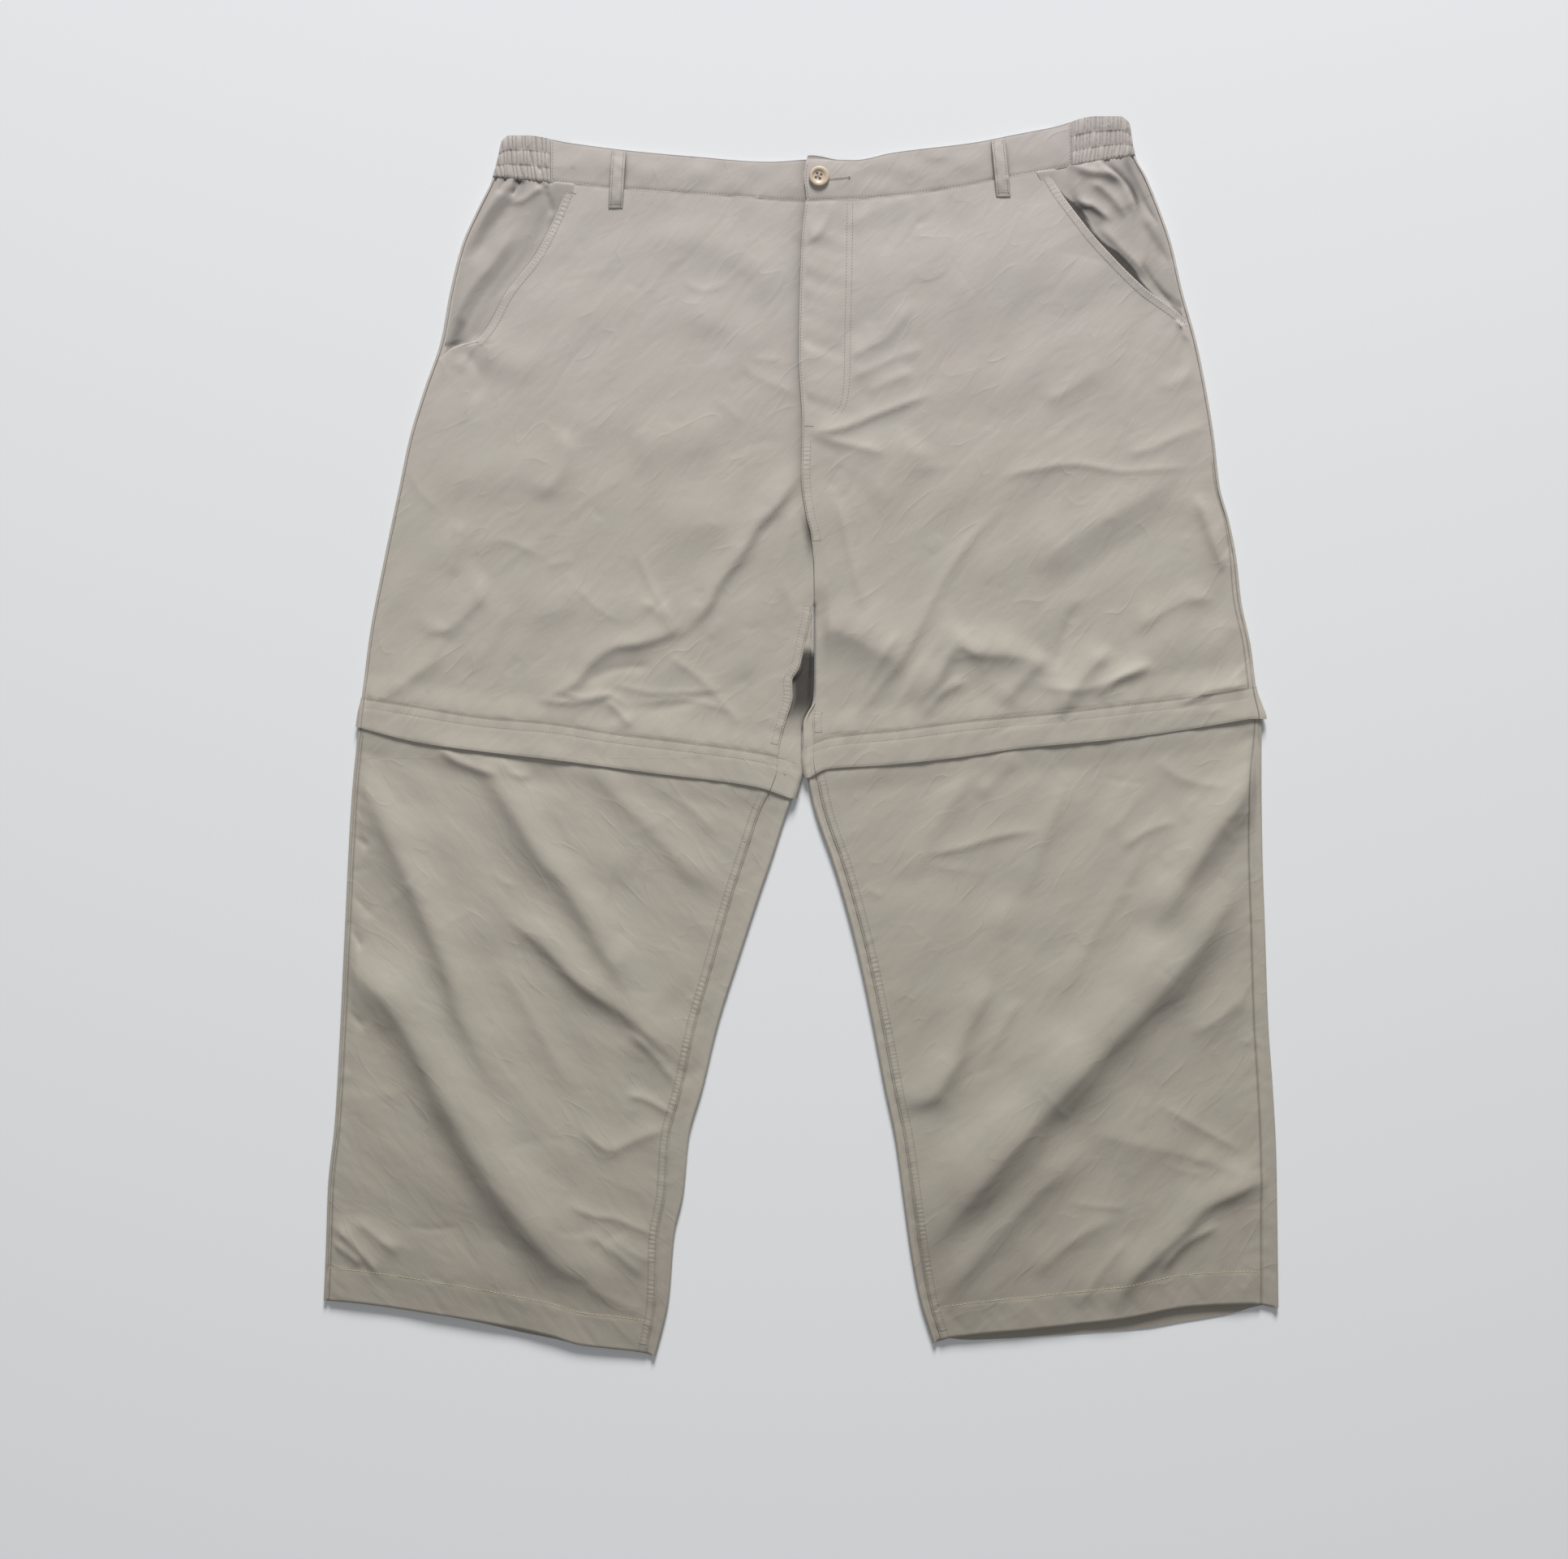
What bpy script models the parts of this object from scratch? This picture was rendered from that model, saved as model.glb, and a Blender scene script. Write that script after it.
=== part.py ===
# Convertible zip-off trousers, laid flat with the front up.
# World axes: +X to the wearer's left, +Y to the waist, +Z up from the surface they lie on.
# "right" and "left" are the wearer's. Sizes in the tables are millimetres.

import math

import bpy
import numpy as np

# Driving sizes
WALL = 1.2  # one layer of cloth with its seam allowances
BAND_WALL = 2.2  # the waistband is doubled
SEAM_GAP = 0.3
EDGE_RADIUS = 2.4  # outer radius of a side fold of the flattened tube
PUFF = 1.5  # how far the top layer stands up between its folds
PUFF_REACH = 45.0
BAND_RADIUS = 3.1  # half the height of the flattened waistband
FLAP_WALL = 1.2
FLAP_STEP = FLAP_WALL + SEAM_GAP  # a flap lies this far outside the panel under it
FLAP_SIDE_STAND = 1.4  # and this many times as far out at the side folds
ZIP_WIDTH = 5.4
ZIP_WALL = 1.1
FLY_LAP_STEP = WALL + SEAM_GAP
BAND_LAP_STEP = BAND_WALL + SEAM_GAP
BUTTON_DIAMETER = 18.0
BUTTON_HEIGHT = 3.0
BUTTON_WELL = 2.2  # height of the dished middle
BUTTON_RIM = (1.0, 2.6, 3.4)  # how far in from the edge the rim starts, ends, and meets the middle
BUTTON_EDGE = (0.7, 0.8)  # the chamfer under the edge
BUTTON_HOLE = 2.0
LOOP_WIDTH = 12.5
LOOP_WALL = 1.6
POCKET_TUCK = 11.0  # how far a pocket side runs under the front
FOLD_FADE = 26.0  # folds die out over this width at a side fold
FOLD_END = (-0.08, 0.22)  # and over this share of their length at their ends
WAIST_FLATTEN = 0.6  # the waist seam takes away this share of puff and folds
LIFT_MARGIN = 2.0
LIFT_RUN = 22.0  # the panels come down to the surface again over this length
WAIST_RISE_RUN = 40.0
POCKET_GAPE = {"right": 0.8, "left": 2.4}
POCKET_GAPE_REACH = 12.0
POCKET_DROP = 14.0
POCKET_DIP = 2.0
POCKET_DIP_FROM = 6.0
POCKET_DIP_TO = 18.0
FLY_STITCH_X = 38.0
FLY_STITCH_FADE = 14.0
FLY_LAP_END = (96.0, 138.0)  # the lap dies out above the crotch
FLY_ZIP_TOP = 468.0
FLY_ZIP_BOTTOM = 262.0
BAND_CROWN = 0.6
BAND_LAP_X = 5.0
BAND_UNDERLAP_X = 34.0
BAND_LAP_FADE = (38.0, 74.0)
ELASTIC_FRONT_X = {"right": -221.5, "left": 239.0}
ELASTIC_BACK_X = {"right": -205.0, "left": 226.0}
ELASTIC_RIDGES = {"right": 9, "left": 14}
ELASTIC_CHANNELS = 3
GATHER_HEIGHT = 1.1
GATHER_DIP = 0.25
LOOP_ENDS = {"right": ((-161.0, 517.0), (-164.0, 467.0)), "left": ((174.0, 526.5), (179.0, 477.0))}
LOOP_ARCH = 1.8
BUTTON_PLACE = (16.0, 494.0, 9.7)
BUTTON_HOLE_RADIUS = 2.6

# Where the four runs of panels meet, and how finely they are cut into rows and columns
CROTCH_Y = 88.0
UPPER_ROWS = 20
LOWER_ROWS = 20
FRONT_COLUMNS = 14
UNDER_COLUMNS = 3
FOLD_ANGLES = (90, 38, -38, -90)
POCKET_COLUMNS = 4
FLY_ZIP_ROWS = 8
BAND_ROWS = 3
BAND_COLUMNS = 12
LOOP_ROWS = 6
BUTTON_STEPS = 32
BUTTON_HOLE_SIDES = 10

# The outline of each leg: Y, then the X of its outer and inner side fold
RIGHT_OUTLINE = {
    "outer": [
        (-501, -423), (-456, -421), (-398, -419), (-341, -413), (-254, -408), (-168, -404), (-53, -398),
        (8, -392), (34, -389), (91, -382), (149, -371), (221, -356), (264, -347), (307, -334), (351, -319),
        (394, -311), (437, -300), (466, -287), (495, -273), (531, -264),
    ],
    "inner": [
        (-550, -129), (-499, -117), (-441, -112), (-405, -104), (-355, -99), (-312, -87), (-254, -73),
        (-197, -55), (-139, -36), (-110, -26), (-67, -12), (-53, -6.5), (-37, -2.5), (-17, -1.5), (5, 1.8),
        (27, 7.5), (55, 11), (88, 11.2),
    ],
}
LEFT_OUTLINE = {
    "outer": [
        (-507, 423), (-427, 422), (-369, 421), (-312, 418), (-254, 414), (-168, 411), (-110, 409),
        (-38, 408), (12, 408), (41, 403), (77, 399), (120, 390), (156, 386), (192, 379), (221, 371),
        (264, 366), (307, 359), (351, 350), (394, 338), (437, 328), (466, 318), (495, 306), (514, 296),
        (548, 290),
    ],
    "inner": [
        (-538, 117), (-499, 105), (-456, 97), (-413, 91), (-355, 83), (-312, 74), (-254, 63), (-197, 51),
        (-139, 36), (-110, 27), (-67, 12), (-53, 4), (-37, 3), (-17, 3.2), (5, 4), (27, 8.6), (55, 12),
        (88, 12.2),
    ],
}

# Seams that run across, as X and then Y
WAIST_TOP = [
    (-266, 526), (-258, 531), (-243, 531), (-207, 525), (-153, 518), (-99, 513), (-27, 508), (9, 510),
    (45, 509), (81, 516), (153, 525), (189, 532), (225, 539), (261, 548), (282, 548), (292, 541),
]
WAIST_SEAM = [
    (-272, 495), (-220, 490), (-170, 485), (-101, 480), (-55, 477), (2, 473), (41, 474), (125, 483),
    (171, 492), (238, 504), (295, 514),
]
RIGHT_FLAP = {
    "top": [(-386, 34), (-354, 29), (-280, 17), (-223, 12), (-166, 3), (-109, -4), (-32, -15), (-1, -24)],
    "bottom": [
        (-393, 8), (-337, -6), (-280, -14), (-212, -22), (-138, -32), (-40, -45), (-10, -55),
    ],
}
LEFT_FLAP = {
    "top": [(2, -9), (27, 0), (87, 6), (148, 14), (224, 21), (300, 30), (360, 37), (401, 44)],
    "bottom": [(7, -37), (24, -29), (72, -26), (139, -19), (194, -11), (269, -4), (330, 4), (397, 15)],
}
RIGHT_HEM = [
    (-423, -500), (-406, -501), (-318, -513), (-270, -521), (-222, -531), (-196, -539), (-141, -546),
    (-129, -550),
]
RIGHT_HEM_DROP = [(-340, 0), (-290, 1.5), (-243, 3.4), (-215, 2.2), (-194, 0)]
LEFT_HEM_DROP = [(129, 0), (150, 5), (190, 7), (254, 9), (330, 13.5), (373, 10), (396, 5), (404, 0)]
LEFT_HEM = [(117, -538), (132, -533), (207, -525), (284, -516), (348, -505), (397, -503), (423, -507)]

# Seams that run down, as Y and then X, or Y and then the distance in from the side fold
FLY_EDGE = [(100, 12), (149, 11.5), (221, 9), (274, 1.5), (337, -2), (429, 0), (474, 4)]
CENTRE_BACK = [(88, 11.7), (180, 8), (480, 3)]
UNDERLAP_EDGE = [(100, 11.6), (149, 11.1), (170, 10.6), (221, 11), (474, 11)]
POCKET_RIGHT = [(334, -320), (345, -307), (350, -288), (395, -259), (429, -233), (485, -207), (496, -203)]
POCKET_LEFT = [(347, 346.5), (366, 341), (398, 302), (436, 264), (449, 253), (493, 222), (506, 216)]
OUTSEAM_IN_RIGHT = [(-500, 5.0), (530, 5.0)]
OUTSEAM_IN_LEFT = [(-507, 16), (-254, 13.5), (-60, 13), (10, 7), (120, 7), (200, 4.5), (540, 4.5)]
INSEAM_IN_RIGHT = [
    (-550, 9), (-441, 15), (-385, 17), (-225, 21), (-110, 25), (-67, 25), (-44, 21), (-10, 16), (27, 13),
    (50, 15), (70, 9), (88, 5),
]
INSEAM_IN_LEFT = [(-538, 8.6), (-20, 8.6), (10, 6), (40, 4), (88, 4)]

# The largest folds: a ridge from one end to the other, in X and Y, with the sideways bow of its
# middle, its height, and how wide its upper and its lower side are
FOLD_COLUMNS = ("start_x", "start_y", "end_x", "end_y", "bow", "height", "upper", "lower")
FOLDS = [
    # right lower leg
    (-394, -195, -180, -490, -14, 6.5, 18, 10),
    (-372, -90, -292, -262, 10, 3.4, 15, 9),
    (-300, -22, -130, -270, -8, 3.6, 16, 10),
    (-215, -405, -146, -452, 6, 2.4, 12, 8),
    (-165, -310, -118, -362, -5, 2.4, 11, 8),
    (-404, -440, -330, -478, 5, 2.2, 12, 8),
    # left lower leg
    (368, -176, 122, -440, 10, 6.5, 18, 10),
    (392, -40, 290, -160, -7, 3.4, 15, 9),
    (128, -100, 180, -88, 3, 2.2, 10, 7),
    (290, -100, 320, -78, 3, 2.2, 10, 7),
    (250, -385, 196, -425, -4, 2.6, 12, 8),
    (400, -408, 305, -474, 6, 2.8, 13, 8),
    # right thigh
    (2, 236, -88, 112, -9, 3.8, 13, 8),
    (-212, 52, -150, 82, -4, 3.0, 13, 9),
    (-168, 32, -40, 52, 6, 2.8, 12, 9),
    (-322, 96, -276, 128, 4, 2.4, 13, 9),
    (-294, 250, -278, 190, 4, 2.0, 14, 12),
    (-222, 222, -190, 282, 4, 2.0, 14, 12),
    # left thigh
    (18, 100, 312, 122, -38, 5.2, 22, 10),
    (102, 68, 140, 28, 4, 2.4, 12, 8),
    (218, 162, 330, 226, 10, 2.8, 15, 10),
    (45, 338, 105, 296, 4, 2.2, 13, 9),
    (22, 272, 108, 312, 5, 2.6, 13, 9),
    (84, 410, 330, 262, 30, 3.2, 38, 26),
]

COLOURS = {
    "shell": (0.43, 0.40, 0.36),
    "lower": (0.33, 0.30, 0.26),
    "band": (0.46, 0.43, 0.39),
    "zip": (0.10, 0.10, 0.10),
    "button": (0.66, 0.60, 0.50),
}


def curve_through(rows):
    """Return a smooth curve through (place, value) rows that never overshoots them."""
    place = np.array([row[0] for row in rows], float)
    value = np.array([row[1] for row in rows], float)
    step = np.diff(place)
    slope = np.diff(value) / step
    tangent = np.zeros(len(value))
    tangent[0] = slope[0]
    tangent[-1] = slope[-1]
    for k in range(1, len(value) - 1):
        if slope[k - 1] * slope[k] > 0:
            tangent[k] = 2 * slope[k - 1] * slope[k] / (slope[k - 1] + slope[k])

    def read(at):
        at = np.clip(np.asarray(at, float), place[0], place[-1])
        k = np.clip(np.searchsorted(place, at) - 1, 0, len(step) - 1)
        s = (at - place[k]) / step[k]
        start = (1 + 2 * s) * (1 - s) ** 2 * value[k] + s * (1 - s) ** 2 * step[k] * tangent[k]
        end = s * s * (3 - 2 * s) * value[k + 1] + s * s * (s - 1) * step[k] * tangent[k + 1]
        return start + end

    return read


def ramp(value, low, high):
    """Rise smoothly from 0 at low to 1 at high."""
    s = np.clip((np.asarray(value, float) - low) / (high - low), 0, 1)
    return s * s * (3 - 2 * s)


class Leg:
    """One leg's outline and seams, in millimetres. side is -1 for the right leg and 1 for the left."""

    def __init__(self, side, outline, flap, hem, hem_drop, outseam_in, inseam_in, pocket):
        self.side = side
        self.inward = -side
        self.outer = curve_through(outline["outer"])
        self.inner = curve_through(outline["inner"])
        self.flap_top = curve_through(flap["top"])
        self.flap_bottom = curve_through(flap["bottom"])
        self.hem = curve_through(hem)
        self.hem_drop = curve_through(hem_drop)
        self.outseam_in = curve_through(outseam_in)
        self.inseam_in = curve_through(inseam_in)
        self.pocket = curve_through(pocket)
        self.pocket_low = pocket[0][0]

    def zip_high(self, x):
        return 0.5 * (self.flap_top(x) + self.flap_bottom(x) + ZIP_WIDTH) + SEAM_GAP

    def zip_low(self, x):
        return self.zip_high(x) - ZIP_WIDTH - 2 * SEAM_GAP

    def back_hem(self, x):
        return self.hem(x) - self.hem_drop(x)

    def edge_distances(self, x, y):
        """Distance in from the outer and from the inner side fold; above the crotch, from its point."""
        outer = (x - self.outer(y)) * self.inward
        inner = (self.inner(np.minimum(y, CROTCH_Y)) - x) * self.inward
        above = np.maximum(y - CROTCH_Y, 0)
        return outer, np.sqrt(np.maximum(inner, 0) ** 2 + above**2)

    def lift(self, x, y):
        """The panels rise over the flap that runs under them, so that the flap lies flat."""
        over_top = self.flap_top(x) + LIFT_MARGIN - y
        over_bottom = y - self.flap_bottom(x) + LIFT_MARGIN
        return FLAP_STEP * ramp(over_top, -LIFT_RUN, 0) * ramp(over_bottom, -LIFT_RUN, 0)

    def outseam(self, shift=0.0):
        return lambda y: self.outer(y) + self.inward * (self.outseam_in(y) + shift)

    def inseam(self, shift=0.0):
        return lambda y: self.inner(y) - self.inward * (self.inseam_in(y) + shift)


RIGHT = Leg(
    -1, RIGHT_OUTLINE, RIGHT_FLAP, RIGHT_HEM, RIGHT_HEM_DROP, OUTSEAM_IN_RIGHT, INSEAM_IN_RIGHT, POCKET_RIGHT
)
LEFT = Leg(
    1, LEFT_OUTLINE, LEFT_FLAP, LEFT_HEM, LEFT_HEM_DROP, OUTSEAM_IN_LEFT, INSEAM_IN_LEFT, POCKET_LEFT
)
SIDE_NAMES = {RIGHT: "right", LEFT: "left"}
waist_top = curve_through(WAIST_TOP)
waist_seam = curve_through(WAIST_SEAM)
fly_edge = curve_through(FLY_EDGE)
underlap_edge = curve_through(UNDERLAP_EDGE)
centre_back = curve_through(CENTRE_BACK)


def fold_height(x, y):
    """Add up the ridges of the folds at a point."""
    total = 0.0
    for row in FOLDS:
        fold = dict(zip(FOLD_COLUMNS, row))
        run_x = fold["end_x"] - fold["start_x"]
        run_y = fold["end_y"] - fold["start_y"]
        length = math.hypot(run_x, run_y)
        up = 1 if run_x > 0 else -1
        from_x = x - fold["start_x"]
        from_y = y - fold["start_y"]
        along = (from_x * run_x + from_y * run_y) / length**2
        away = (from_y * run_x - from_x * run_y) / length * up
        away = away - fold["bow"] * 4 * along * (1 - along)
        width = np.where(away > 0, fold["upper"], fold["lower"])
        ends = ramp(along, *FOLD_END) * ramp(1 - along, *FOLD_END)
        total = total + fold["height"] * ends * np.exp(-((away / width) ** 2))
    return total


def top_height(leg, x, y):
    """Height of the outer face of the top layer."""
    near = np.minimum(*leg.edge_distances(x, y))
    flat = np.clip(near - EDGE_RADIUS, 0, None)
    bend = np.clip(EDGE_RADIUS - near, 0, EDGE_RADIUS)
    drop = EDGE_RADIUS - np.sqrt(EDGE_RADIUS**2 - bend**2)
    puff = PUFF * (1 - np.exp(-flat / PUFF_REACH))
    folds = fold_height(x, y) * ramp(flat, 0, FOLD_FADE)
    waist = ramp(y, waist_seam(x) - WAIST_RISE_RUN, waist_seam(x))
    rise = 2 * (BAND_RADIUS - EDGE_RADIUS) * waist
    relief = (puff + folds) * (1 - WAIST_FLATTEN * waist)
    return leg.lift(x, y) + 2 * EDGE_RADIUS + relief + rise - drop


def front_height(leg, x, y):
    """The front stands up at its pocket edge, and the left front laps over the right at the fly."""
    height = top_height(leg, x, y)
    if y > leg.pocket_low:
        from_edge = (x - float(leg.pocket(y))) * leg.inward
        middle = math.sin(math.pi * (y - leg.pocket_low) / (float(waist_seam(x)) - leg.pocket_low))
        gape = POCKET_GAPE[SIDE_NAMES[leg]] * max(middle, 0)
        height = height + gape * math.exp(-max(from_edge, 0) / POCKET_GAPE_REACH)
    if leg is LEFT:
        lap = (1 - ramp(x, FLY_STITCH_X, FLY_STITCH_X + FLY_STITCH_FADE)) * ramp(y, *FLY_LAP_END)
        height = height + FLY_LAP_STEP * lap
    return float(height)


def pocket_side_height(leg, x, y):
    """The pocket side dips under the front's slant edge."""
    outside = (float(leg.pocket(max(y, leg.pocket_low))) - x) * leg.inward
    return float(top_height(leg, x, y) - POCKET_DIP * (1 - ramp(outside, POCKET_DIP_FROM, POCKET_DIP_TO)))


def crossing(row, line):
    """Where a row, which gives Y from X, crosses a line, which gives X from Y."""
    x = float(line(0.0))
    for _ in range(14):
        x = float(line(float(row(x))))
    return x


def between(high, low, share):
    return lambda x: high(x) + (low(x) - high(x)) * share


def upper_rows(leg):
    """Rows from the waist seam to the flap's top seam, and one more at the leg zip."""
    start = lambda x: waist_seam(x) - SEAM_GAP / 2
    rows = [between(start, leg.flap_top, k / UPPER_ROWS) for k in range(UPPER_ROWS + 1)]
    return rows + [leg.zip_high]


def lower_rows(leg, hem):
    """A row at the leg zip, and rows from the flap's lower edge to the hem."""
    rows = [between(leg.flap_bottom, hem, k / LOWER_ROWS) for k in range(LOWER_ROWS + 1)]
    return [leg.zip_low] + rows


def flap_rows(leg):
    return [leg.flap_top, leg.zip_high, leg.zip_low, leg.flap_bottom]


def zip_rows(leg):
    high = lambda x: leg.zip_high(x) - SEAM_GAP
    low = lambda x: leg.zip_low(x) + SEAM_GAP
    return [high, low]


def front_section(leg, row, height=top_height, out=0.0):
    """The outer face of a front at one row, from its outer line to its inner line."""
    gap = SEAM_GAP / 2
    outseam = leg.outseam(gap)
    inseam = leg.inseam(gap)

    def outer_line(y):
        return leg.pocket(y) if y > leg.pocket_low else outseam(y)

    def inner_line(y):
        if y < CROTCH_Y:
            return inseam(y)
        return fly_edge(y) if leg is LEFT else underlap_edge(y)

    from_x = crossing(row, outer_line)
    to_x = crossing(row, inner_line)
    points = []
    for k in range(FRONT_COLUMNS):
        x = from_x + (to_x - from_x) * k / (FRONT_COLUMNS - 1)
        y = float(row(x))
        points.append((x, y, float(height(leg, x, y)) + out))
    return points


def side_fold(leg, row, edge_x, inward, out, down):
    """The round side fold at one row, from the top down or from the underside up."""
    points = []
    for angle in FOLD_ANGLES if down else FOLD_ANGLES[::-1]:
        turn = math.radians(angle)
        flat_x = edge_x + inward * EDGE_RADIUS
        x = flat_x - inward * (EDGE_RADIUS + out * FLAP_SIDE_STAND) * math.cos(turn)
        y = float(row(x))
        low = float(leg.lift(flat_x, y))
        half = (float(top_height(leg, flat_x, y)) - low) / 2
        points.append((x, y, low + half + (half + out) * math.sin(turn)))
    return points


def back_section(leg, row, out=0.0):
    """The outer face of a back at one row: the outseam, the side fold, the underside, and the inseam.

    Above the crotch it ends at the centre back seam, and the columns past that are None."""
    outseam_x = crossing(row, leg.outseam(-SEAM_GAP / 2))
    outer_x = crossing(row, leg.outer)
    inner_x = crossing(row, leg.inner)
    points = []
    for x in (outseam_x, (outseam_x + outer_x + leg.inward * EDGE_RADIUS) / 2):
        y = float(row(x))
        points.append((x, y, float(top_height(leg, x, y)) + out))
    points += side_fold(leg, row, outer_x, leg.inward, out, down=True)
    above = float(row(inner_x)) > CROTCH_Y
    centre_x = crossing(row, centre_back) - leg.inward * SEAM_GAP / 2
    first_x = outer_x + leg.inward * EDGE_RADIUS
    last_x = centre_x if above else inner_x - leg.inward * EDGE_RADIUS
    for k in range(1, UNDER_COLUMNS + 2):
        x = first_x + (last_x - first_x) * k / (UNDER_COLUMNS + 1)
        y = float(row(x))
        points.append((x, y, float(leg.lift(x, y)) - out))
    if above:
        return points + [None] * (len(FOLD_ANGLES) + 1)
    points = points[:-1] + side_fold(leg, row, inner_x, -leg.inward, out, down=False)
    inseam_x = crossing(row, leg.inseam(-SEAM_GAP / 2))
    for x in ((inseam_x + inner_x - leg.inward * EDGE_RADIUS) / 2, inseam_x):
        y = float(row(x))
        points.append((x, y, float(top_height(leg, x, y)) + out))
    return points


def material(name, colour):
    made = bpy.data.materials.new(name)
    made.use_nodes = True
    shader = made.node_tree.nodes["Principled BSDF"]
    shader.inputs["Base Color"].default_value = (*colour, 1.0)
    shader.inputs["Roughness"].default_value = 0.75
    shader.inputs["Metallic"].default_value = 0.0
    return made


def add_object(name, points, faces, colour):
    """Make a named object from points in millimetres."""
    mesh = bpy.data.meshes.new(name)
    mesh.from_pydata([tuple(value * 0.001 for value in p) for p in points], [], faces)
    mesh.validate()
    mesh.shade_smooth()
    made = bpy.data.objects.new(name, mesh)
    made.data.materials.append(material(f"{name}_finish", COLOURS[colour]))
    collection.objects.link(made)
    return made


def grid_faces(rows, flip, closed=False):
    """Number the points of a grid, and give its faces. A grid may lack points, which are None."""
    number = {}
    points = []
    for i, row in enumerate(rows):
        for j, point in enumerate(row):
            if point is not None:
                number[i, j] = len(points)
                points.append(point)
    faces = []
    columns = len(rows[0])
    for i in range(len(rows) - 1):
        for j in range(columns if closed else columns - 1):
            after = (j + 1) % columns
            corners = [(i, j), (i + 1, j), (i + 1, after), (i, after)]
            if all(corner in number for corner in corners):
                face = [number[corner] for corner in corners]
                faces.append(face[::-1] if flip else face)
    used = sorted({k for face in faces for k in face})
    place = {k: n for n, k in enumerate(used)}
    return [points[k] for k in used], [[place[k] for k in face] for face in faces]


def cloth(name, rows, colour, flip=False, wall=WALL, closed=False):
    """A cloth wall: the outer face is the grid, and Solidify gives the wall inside it."""
    points, faces = grid_faces(rows, flip, closed)
    made = add_object(name, points, faces, colour)
    solid = made.modifiers.new("wall", "SOLIDIFY")
    solid.thickness = wall * 0.001
    solid.offset = -1
    solid.use_even_offset = True
    return made


def make_panels(leg):
    """The front, back and lower leg panels of one side."""
    name = SIDE_NAMES[leg]
    right = leg is RIGHT
    front = [front_section(leg, row, front_height) for row in upper_rows(leg)]
    back = [back_section(leg, row) for row in upper_rows(leg)]
    lower_front = [front_section(leg, row) for row in lower_rows(leg, leg.hem)]
    lower_back = [back_section(leg, row) for row in lower_rows(leg, leg.back_hem)]
    cloth(f"front_{name}", front, "shell", not right)
    cloth(f"back_{name}", back, "shell", right)
    cloth(f"lower_front_{name}", lower_front, "lower", not right)
    cloth(f"lower_back_{name}", lower_back, "lower", right)


def make_pocket_side(leg):
    """The cloth behind a slant pocket, from the outseam to a little way under the front."""
    outseam = leg.outseam(SEAM_GAP / 2)
    tucked = lambda y: leg.pocket(max(y, leg.pocket_low)) + leg.inward * POCKET_TUCK
    rows = []
    for row in upper_rows(leg):
        from_x = crossing(row, outseam)
        if float(row(from_x)) < leg.pocket_low - POCKET_DROP:
            break
        to_x = crossing(row, tucked)
        points = []
        for j in range(POCKET_COLUMNS + 1):
            x = from_x + (to_x - from_x) * j / POCKET_COLUMNS
            y = float(row(x))
            points.append((x, y, pocket_side_height(leg, x, y)))
        rows.append(points)
    cloth(f"pocket_side_{SIDE_NAMES[leg]}", rows, "shell", leg is LEFT)


def make_flaps(leg):
    """The flaps over a leg zip lie just outside the panels, on top and underneath."""
    name = SIDE_NAMES[leg]
    right = leg is RIGHT
    front = [front_section(leg, row, top_height, FLAP_STEP) for row in flap_rows(leg)]
    back = [back_section(leg, row, FLAP_STEP) for row in flap_rows(leg)]
    cloth(f"flap_front_{name}", front, "shell", not right, FLAP_WALL)
    cloth(f"flap_back_{name}", back, "shell", right, FLAP_WALL)


def make_leg_zip(leg):
    """The leg zip fills the gap between the upper and lower panels, all round the leg."""
    rows = []
    for row in zip_rows(leg):
        back = back_section(leg, row)
        front = front_section(leg, row)
        rows.append(back + front[-2:0:-1])
    cloth(f"leg_zip_{SIDE_NAMES[leg]}", rows, "zip", leg is RIGHT, ZIP_WALL, closed=True)


def make_fly_zip():
    """The fly zip lies beside the right front's edge, under the lap of the left front."""
    rows = []
    for k in range(FLY_ZIP_ROWS + 1):
        y = FLY_ZIP_TOP + (FLY_ZIP_BOTTOM - FLY_ZIP_TOP) * k / FLY_ZIP_ROWS
        from_x = float(underlap_edge(y)) + SEAM_GAP
        points = []
        for x in (from_x, from_x + ZIP_WIDTH):
            points.append((x, y, float(top_height(LEFT, x, y))))
        rows.append(points)
    cloth("fly_zip", rows, "zip", False, ZIP_WALL)


def band_height(x, y):
    """Height of the outer face of the waistband's front."""
    share = (float(waist_top(x)) - y) / (float(waist_top(x)) - float(waist_seam(x)))
    return 2 * BAND_RADIUS + BAND_CROWN * math.sin(math.pi * min(max(share, 0), 1))


def band_row(share):
    start = lambda x: waist_seam(x) + SEAM_GAP / 2
    return between(waist_top, start, share)


def make_band_front(leg):
    """A plain half of the waistband; the left half laps over the right at the button."""
    side_x = ELASTIC_FRONT_X[SIDE_NAMES[leg]] + leg.inward * SEAM_GAP
    centre_x = BAND_UNDERLAP_X if leg is RIGHT else BAND_LAP_X
    rows = []
    for k in range(BAND_ROWS + 1):
        row = band_row(k / BAND_ROWS)
        points = []
        for j in range(BAND_COLUMNS + 1):
            x = side_x + (centre_x - side_x) * j / BAND_COLUMNS
            y = float(row(x))
            lap = BAND_LAP_STEP * (1 - float(ramp(x, *BAND_LAP_FADE))) if leg is LEFT else 0
            points.append((x, y, band_height(x, y) + lap))
        rows.append(points)
    cloth(f"waistband_front_{SIDE_NAMES[leg]}", rows, "band", leg is LEFT, BAND_WALL)


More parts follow.
